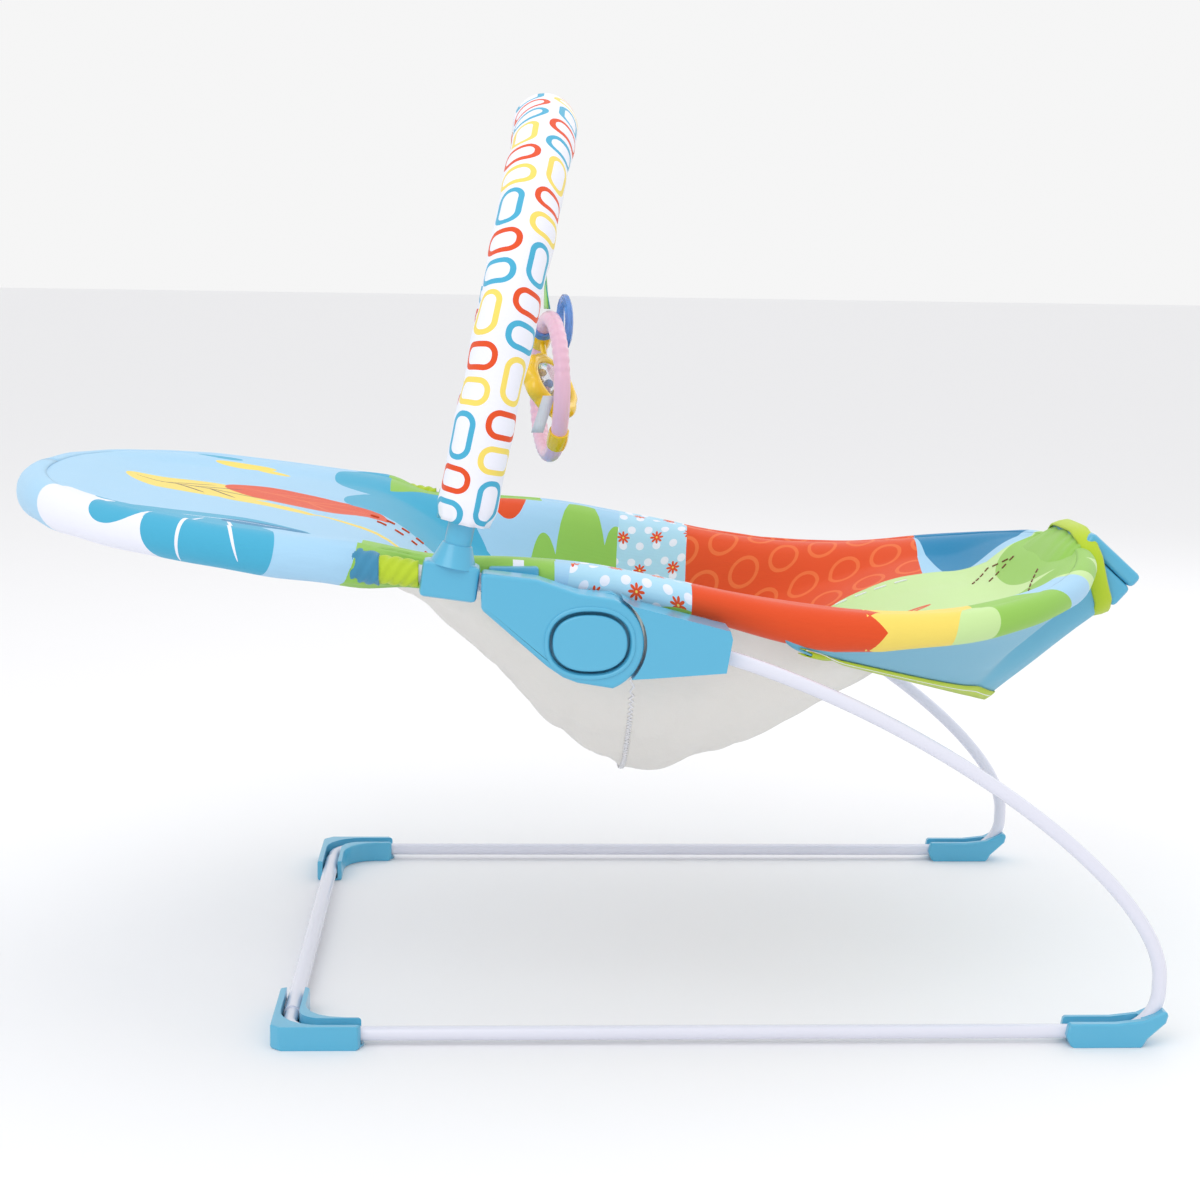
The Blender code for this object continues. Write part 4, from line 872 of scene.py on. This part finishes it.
def cuff_point(angle, out=0.0, grow=0.0):
    """A point of the cuff that holds the vibration unit, out along its axis and grown outwards."""
    return loop_point(CUFF_AT + CUFF_OUT * out, CUFF_UP, 0.0475 + grow, 0.0310 + grow, angle)


def front_funnel():
    """The cloth drawn in round the vibration unit."""
    rows = []
    for i in range(15):
        t = i / 14
        row = []
        for j in range(49):
            angle = math.radians(20 + 140 * j / 48)
            rear = loop_point(Vector((0.318, 0, 0.2545)), Vector((0, 0, 1)), 0.084, 0.0265, angle)
            point = rear.lerp(cuff_point(angle), t)
            point.z += 0.004 * math.sin(math.pi * t) * math.sin(angle)
            pucker = 0.0009 * math.sin(angle * 26 + 4 * t) * t
            outward = (point - Vector((point.x, 0, 0.27))).normalized()
            row.append(point + outward * (pucker + rumple(point, 40.0, 0.0014)))
        rows.append(row)
    piece = grid("funnel_top", rows, "seat", GREEN_CLOTH, thick=THIN_CLOTH)


def cuff():
    """The lime tape round the vibration unit and the cloth that closes it behind."""
    rows = []
    angles = [2 * math.pi * j / 96 for j in range(96)]
    for out, grow in CUFF_TAPE:
        row = []
        for angle in angles:
            point = cuff_point(angle, out, grow)
            point += CUFF_OUT * rumple((math.cos(angle), math.sin(angle), 0), 2.2, 0.0022)
            row.append(point)
        rows.append(row)
    tape = grid("cuff_tape", rows, "seat", LIME_TAPE, around=True, thick=CLOTH_THICK)
    rows = [[cuff_point(angle, out, grow) for angle in angles] for out, grow in CUFF_WEB]
    web = grid("cuff_web", rows, "seat", SKIRT_CLOTH, around=True, thick=THIN_CLOTH)


def skirt_edge(share):
    reach = abs(share) ** 1.35
    return Vector((0.2965 - 0.165 * reach, 0.196 * share, 0.187 + 0.067 * abs(share) ** 1.2))


def skirt_high(share):
    """The skirt's upper edge: round the cuff in the middle, then tucked under the roll."""
    size, side = abs(share), math.copysign(1.0, share)
    turn = math.radians(100 * min(1.0, size / 0.22))
    cuffed = cuff_point(-math.pi / 2 + side * turn, -0.002, 0.0006)
    q = max(0.0, (size - 0.22) / 0.78)
    x = 0.349 - 0.236 * q ** 1.15
    slope = (half_at(x + X_STEP) - half_at(x - X_STEP)) / (2 * X_STEP)
    out = Vector((-slope, 1.0, 0)).normalized()
    reach = roll_at(x) - 0.0012
    level = -0.72
    rise = reach * level * (1 + droop_at(x))
    spread = reach * math.sqrt(1 - level * level)
    rolled = Vector((x + out.x * spread, side * (half_at(x) + out.y * spread), tube_at(x) + rise))
    return cuffed.lerp(rolled, smooth_step((size - 0.13) / 0.20))


def skirt_point(t, share):
    """A point of the skirt, from its lower edge at t = 0 to its upper edge at t = 1."""
    point = skirt_edge(share).lerp(skirt_high(share), t)
    belly = math.sin(math.pi * t)
    fold = math.sin(share * 46) * 0.0010 * smooth_step((t - 0.55) / 0.45)
    fold *= smooth_step((0.5 - abs(share)) / 0.3)
    point.x += 0.010 * belly * (0.3 - abs(share)) + fold + rumple(point, 15.0, 0.0040) * belly
    return point


# the binding's section: outwards from the cloth, and up from its edge
BINDING = ((0.0016, 0.0085), (0.0019, 0.0040), (0.0014, -0.0010),
           (-0.0014, -0.0010), (-0.0019, 0.0040), (-0.0016, 0.0085))


def skirt():
    shares = [-0.985 + 1.97 * j / 96 for j in range(97)]
    rows = [[skirt_point(i / 26, share) for share in shares] for i in range(27)]
    panel = grid("skirt_panel", rows, "seat", SKIRT_CLOTH, thick=0.0011, replaced=("front_skirt",))
    rows = []
    for out, along in BINDING:
        row = []
        for share in shares:
            low = skirt_point(0.0, share)
            up = (skirt_point(0.12, share) - low).normalized()
            side = (skirt_edge(share + SHARE_STEP) - skirt_edge(share - SHARE_STEP)).normalized()
            face = up.cross(side).normalized()
            row.append(low + up * along - face * out)
        rows.append(row)
    tape = grid("binding_tape", rows, "seat", LIME_TAPE, thick=0.0006, replaced=("skirt_binding",))
    pipe("binding_stitch", rows[1], 0.0005, "seat", THREAD_WHITE, resolution=1)


# ---------------------------------------------------------------- harness
def harness():
    rows = []
    for i in range(25):
        x = 0.0455 + 0.090 * i / 24
        row = []
        for j in range(17):
            share = -0.17 + 0.34 * j / 16
            u, v = 2 * i / 24 - 1, 2 * j / 16 - 1
            puff = (1 - u ** 6) * (1 - v ** 6)
            quilt = 0.0010 * abs(math.sin(3 * math.pi * u))
            row.append(top_point(x, share, 0.0125 + puff * (0.0060 + quilt)))
        rows.append(row)
    pad = grid("crotch_pad_soft", rows, "seat", GREEN_CLOTH, thick=0.0020, replaced=("crotch_pad",))
    for word, side in SIDES:
        rows = []
        for i in range(9):
            x = -0.005 + 0.025 * i / 8
            rows.append([top_point(x, side * (0.19 + 0.60 * j / 30), 0.0145) for j in range(31)])
        strap = grid(f"waist_strap_web_{word}", rows, "seat", WEBBING, thick=0.0016,
                     replaced=(f"waist_strap_{word}",))


# ---------------------------------------------------------------- toy bar sleeve
def arch_point(height, across):
    return Vector((ARCH_BASE[0] + math.sin(LEAN) * height, across, ARCH_BASE[1] + math.cos(LEAN) * height))


def sleeve():
    line = [arch_point(0.0360 + 0.042 * i / 12, -ARCH_R) for i in range(12)]
    for i in range(101):
        angle = math.pi * i / 100
        line.append(arch_point(ARCH_RISE + ARCH_R * math.sin(angle), -ARCH_R * math.cos(angle)))
    line += [arch_point(0.0780 - 0.042 * i / 12, ARCH_R) for i in range(1, 13)]
    plane = Vector((math.cos(LEAN), 0, -math.sin(LEAN)))
    run = [0.0]
    for a, b in zip(line, line[1:]):
        run.append(run[-1] + (b - a).length)
    rows, uv = [], []
    sides = 48
    for i, centre in enumerate(line):
        ahead = line[min(i + 1, len(line) - 1)] - line[max(i - 1, 0)]
        across = plane.cross(ahead).normalized()
        middle = 1 - abs(2 * run[i] / run[-1] - 1)
        end = min(run[i], run[-1] - run[i])
        row = []
        for j in range(sides):
            angle = 2 * math.pi * j / sides
            radius = 0.0184 + 0.0036 * smooth_step(middle)
            radius *= blend(0.84, 1.0, end / 0.012)
            gather = math.exp(-end / 0.010)
            radius += 0.0011 * math.sin(11 * angle) * gather
            turned = math.cos(angle - math.pi / 2)
            inner = max(0.0, turned if across.z < 0 else -turned)
            crumple = 0.0013 * math.sin(run[i] * 230 + 2 * math.sin(angle)) * inner
            crumple *= smooth_step((middle - 0.25) / 0.4)
            spoke = plane * math.cos(angle) + across * math.sin(angle)
            place = centre + spoke * 0.02
            radius += crumple + rumple(place, 22.0, 0.0024) + rumple(place, 60.0, 0.0007)
            row.append(centre + spoke * min(radius, 0.0232))
        rows.append(row)
        uv.append([(run[i], 4 * 0.0267 * j / sides) for j in range(sides + 1)])
    soft = grid("sleeve_cloth", rows, "toy_bar", SLEEVE_PRINT, uv, around=True, capped=True,
                replaced=("toy_bar_sleeve", "toy_bar_rod"))
    for word, side in SIDES:
        ends = [arch_point(0.0110, side * ARCH_R), arch_point(0.0420, side * ARCH_R)]
        pipe(f"toy_bar_end_{word}", ends, 0.0040, "toy_bar", STEEL)


# ---------------------------------------------------------------- hubs
def oval(grow, count=72):
    """The release button's outline, grown all round."""
    points = []
    for i in range(count):
        angle = 2 * math.pi * i / count
        wide = 0.0242 + grow
        high = 0.0187 + grow
        x, z = math.cos(angle), math.sin(angle)
        points.append((PIVOT[0] - 0.0032 + math.copysign(abs(x) ** 0.86, x) * wide,
                       PIVOT[1] + 0.0005 + math.copysign(abs(z) ** 0.86, z) * high))
    return points


ARM_OUTLINE = ([(-0.0785, 0.3108), (-0.0785, 0.2878), (-0.0370, 0.2520), (-0.0270, 0.2452), (-0.0180, 0.2418)]
               + arc(PIVOT, DISC_R - 0.0003, -68, 68, 56) + [(-0.0180, 0.2985), (-0.0440, 0.3072)])
LEG_OUTLINE = ([(0.0165, 0.2905), (0.0775, 0.2752), (0.0790, 0.2700), (0.0755, 0.2485), (0.0300, 0.2450)]
               + arc(PIVOT, DISC_R + 0.0016, -44, 58, 40))
LEG_SHELL_HALF = 0.0155


def hubs():
    for word, side in SIDES:
        cutter = plate("cutter", oval(0.0008), (side * 0.2285, side * 0.2500), 0.0001, None, BLUE)
        plate(f"arm_shell_{word}", ARM_OUTLINE, (side * 0.2130, side * COVER_OUT), 0.0030, "seat", BLUE,
              (f"arm_outer_cover_{word}",), cutter)
        lip = [(x, side * (COVER_OUT - 0.0004), z) for x, z in oval(0.0030)]
        pipe(f"button_lip_{word}", lip, 0.0016, "seat", BLUE, closed=True)
        plate(f"button_cap_{word}", oval(-0.0008), (side * 0.2336, side * 0.2378), 0.0016,
              f"release_{word}", BLUE, (f"push_button_{word}",))
        ys = (side * (TRACK - LEG_SHELL_HALF), side * (TRACK + LEG_SHELL_HALF))
        plate(f"leg_shell_{word}", LEG_OUTLINE, ys, 0.0036, "base", BLUE, (f"leg_socket_{word}",))
        soften(f"arm_inner_cover_{word}", BLUE)
        soften(f"toy_bar_bracket_{word}", BLUE, 0.0010)
        soften(f"rear_foot_{word}", BLUE, 0.0009)
        soften(f"front_foot_{word}", BLUE, 0.0009)
        soften(f"lock_gear_{word}", GEAR, 0.0002)
        for small in ("lock_spring", "pivot_rivet", "arm_screw"):
            soften(f"{small}_{word}", STEEL, 0.0002)
        spring = nodes[f"lock_spring_{word}"]
        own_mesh(spring)


# ---------------------------------------------------------------- vibration unit
def unit():
    for name in ("vibration_top_shell", "vibration_bottom_shell"):
        soften(name, BLUE, 0.0016)
    soften("control_panel", LILAC, 0.0004)
    soften("power_button", PINK, 0.0006)
    soften("power_switch", DARK, 0.0003)
    soften("vibration_motor", STEEL, 0.0003)
    soften("motor_weight", STEEL, 0.0003)
    soften("battery_case", BLUE, 0.0006)
    soften("battery_lid", BLUE, 0.0004)
    soften("battery_cell_1", CELL, 0.0004)
    soften("battery_cell_2", CELL, 0.0004)
    soften("harness_buckle", DARK, 0.0010)


# ---------------------------------------------------------------- toy
def toy_matrix():
    return Matrix.Translation(TOY_AT) @ Matrix.Rotation(TOY_TURN, 4, "Z")


def rattle_matrix():
    tilt = Matrix.Rotation(math.radians(-45), 4, "X")
    return toy_matrix() @ tilt @ Matrix.Rotation(math.radians(-50), 4, "Z")


def toy_rings():
    """The big ring, ribbed where it is held, and the two collars that carry the rattle's axle."""
    place, spin = toy_matrix(), rattle_matrix()
    steps = 240
    line, radii = [], []
    for i in range(steps):
        angle = 2 * math.pi * i / steps
        line.append(place @ Vector((0, RING_R * math.cos(angle), RING_R * math.sin(angle))))
        near = abs(((angle - math.pi / 4) % math.pi) - math.pi / 2)
        ribbed = smooth_step((0.62 - near) / 0.1)
        radii.append(1.0 - 0.045 * ribbed * (1 + math.sin(angle * 46)))
    pipe("pink_ring_ribbed", line, RING_TUBE_R, "toy_ring", PINK, radii, True, ("toy_pink_ring",))
    axle = (spin.to_3x3() @ Vector((0, 0, 1))).normalized()
    normal = (place.to_3x3() @ Vector((1, 0, 0))).normalized()
    tangent = axle.cross(normal)
    for i, sign in enumerate((-1, 1)):
        centre = TOY_AT + axle * RING_R * sign
        ends = [centre + tangent * 0.0075 * k / 6 for k in range(-6, 7)]
        bulge = [0.93 + 0.07 * math.cos(k * math.pi / 12) for k in range(-6, 7)]
        pipe(f"collar_{i + 1}", ends, 0.0076, "toy_ring", SUN, bulge)


BEADS = ((-0.0078, -0.0098, PINK), (0.0012, -0.0122, GREEN_BEAD), (0.0086, -0.0084, RED_BEAD),
         (0.0030, -0.0050, SUN), (-0.0050, -0.0030, CLEAR_BLUE), (0.0105, 0.0010, PINK),
         (-0.0100, 0.0040, SUN))
BEAD_R = 0.0030


def rattle():
    """The flower: scalloped rim, two clear domes, its axle and the beads inside."""
    spin = rattle_matrix()
    rows = []
    for i in range(121):
        angle = 2 * math.pi * i / 120
        scallop = 0.0024 * abs(math.cos(angle * 5))
        row = []
        for j in range(20):
            turn = 2 * math.pi * j / 20
            out = math.cos(turn)
            reach = 0.0205 + (0.0044 + (scallop if out > 0 else 0.0)) * out
            place = (0.0068 * math.sin(turn), reach * math.cos(angle), reach * math.sin(angle))
            row.append(spin @ Vector(place))
        rows.append(row)
    grid("flower_rim", rows, "rattle", SUN, around=True, replaced=("rattle_rim",))
    for tag, sign in (("front", 1), ("back", -1)):
        rows = []
        for i in range(11):
            tilt = math.pi / 2 * i / 10
            reach = 0.0180 * math.sin(tilt) + 0.0001
            depth = sign * (0.0030 + 0.0070 * math.cos(tilt))
            rows.append([spin @ Vector((depth, reach * math.cos(a), reach * math.sin(a)))
                         for a in (2 * math.pi * j / 48 for j in range(48))])
        grid(f"dome_{tag}", rows, "rattle", CLEAR, around=True, replaced=(f"rattle_window_{tag}",))
    for i, sign in enumerate((-1, 1)):
        ends = [spin @ Vector((0, 0, sign * 0.0225)), spin @ Vector((0, 0, sign * 0.0440))]
        pipe(f"axle_{i + 1}", ends, 0.0022, "rattle", SUN)
    for i, (y, z, look) in enumerate(BEADS):
        bm = bmesh.new()
        bmesh.ops.create_uvsphere(bm, u_segments=20, v_segments=12, radius=BEAD_R)
        bmesh.ops.translate(bm, vec=(0.0012 * (-1) ** i, y, z), verts=bm.verts)
        bmesh.ops.transform(bm, matrix=spin, verts=bm.verts)
        bead = from_bmesh(bm, f"bead_{i + 1}")
        settle(bead, "rattle", look, (f"rattle_bead_{i + 1}",) if i < 3 else ())


RIBBON_LOW = 0.4690
RIBBON_HIGH = 0.5735
RIBBONS = (("teal", RIBBON_TEAL, 0.0105, -0.0006, -0.0050, ("toy_ribbon",)),
           ("green", RIBBON_GREEN, 0.0098, -0.0030, -0.0024, ()))


def ribbons():
    """The two ribbons that carry the toy, and the blank tag on its ring."""
    for tag, look, width, shift, bend, replaced in RIBBONS:
        rows = []
        for i in range(33):
            t = i / 32
            height = RIBBON_LOW + (RIBBON_HIGH - RIBBON_LOW) * t
            twist = 0.35 * math.sin(3 * t + shift * 300)
            centre = Vector((TOY_AT.x + shift * (1 - t) + bend * math.sin(math.pi * t), 0, height))
            row = []
            for j in range(5):
                w = width * (j / 4 - 0.5) * (1 - 0.25 * math.sin(math.pi * t))
                row.append(centre + Vector((w * math.sin(twist), w * math.cos(twist), 0)))
            rows.append(row)
        strip = grid(f"ribbon_{tag}", rows, "toy", look, thick=0.0006, replaced=replaced)
    tag_at = toy_matrix() @ Vector((-0.0085, -0.0440, -0.004))
    rows = []
    for t in (0, 0.25, 0.5, 0.75, 1):
        hung = tag_at + Vector((-0.0080 * t, 0.0005 * t, -0.026 * t))
        rows.append([hung + Vector((0.0085 * (u - 0.5), 0, 0)) for u in (0, 0.5, 1)])
    label = grid("blank_tag", rows, "toy_ring", WEBBING, thick=0.0005)


# ---------------------------------------------------------------- stage
LIGHTS = (("key", (-0.9, -1.6, 1.9), 1.6, 13.0), ("top", (0.3, 0.2, 2.4), 2.2, 8.0),
          ("rim", (1.3, 1.4, 1.5), 1.4, 5.0))
LIT_AT = Vector((0, 0, 0.25))
FLOOR_HALF = 40.0


def stage():
    mesh = bpy.data.meshes.new("floor")
    corners = [(x * FLOOR_HALF, y * FLOOR_HALF, 0) for x, y in ((-1, -1), (1, -1), (1, 1), (-1, 1))]
    mesh.from_pydata(corners, [], [(0, 1, 2, 3)])
    floor = bpy.data.objects.new("floor", mesh)
    scene.collection.objects.link(floor)
    tree = Tree("floor_paper", 0.9)
    mesh.materials.append(tree.finish(rgb(244, 244, 246), 0.02, [(tree.noise(40.0), 0.0001)]))
    world = bpy.data.worlds.new("studio")
    scene.world = world
    world.use_nodes = True
    world.node_tree.nodes["Background"].inputs[0].default_value = (1.0, 1.0, 1.0, 1.0)
    world.node_tree.nodes["Background"].inputs[1].default_value = 0.92
    for name, place, size, energy in LIGHTS:
        data = bpy.data.lights.new(name, "AREA")
        data.size = size
        data.energy = energy
        lamp = bpy.data.objects.new(name, data)
        scene.collection.objects.link(lamp)
        lamp.location = place
        lamp.rotation_euler = (LIT_AT - Vector(place)).to_track_quat("-Z", "Y").to_euler()
    scene.view_settings.view_transform = "Standard"


def camera():
    yaw, pitch, roll = 0.0538, 0.1544, 0.0156
    ahead = Vector((math.sin(yaw) * math.cos(pitch), math.cos(yaw) * math.cos(pitch), -math.sin(pitch)))
    level = Vector((math.cos(yaw), -math.sin(yaw), 0))
    upright = level.cross(ahead)
    right = level * math.cos(roll) + upright * math.sin(roll)
    up = upright * math.cos(roll) - level * math.sin(roll)
    data = bpy.data.cameras.new("camera")
    data.sensor_width = 36.0
    data.lens = 63.45
    obj = bpy.data.objects.new("camera", data)
    scene.collection.objects.link(obj)
    turn = Matrix((right, up, -ahead)).transposed().to_4x4()
    obj.matrix_world = Matrix.Translation((-0.0745, -1.5315, 0.4966)) @ turn
    scene.camera = obj


base_tubes()
for tube_name in ("seat_back_tube", "seat_front_tube"):
    soften(tube_name, WHITE_TUBE, 0.0001)
seat_top()
seat_rim()
head_back()
tube_wraps()
stitching()
liner()
front_funnel()
cuff()
skirt()
harness()
sleeve()
hubs()
unit()
toy_rings()
rattle()
soften("toy_blue_ring", CLEAR_BLUE, 0.0006)
ribbons()
stage()
camera()
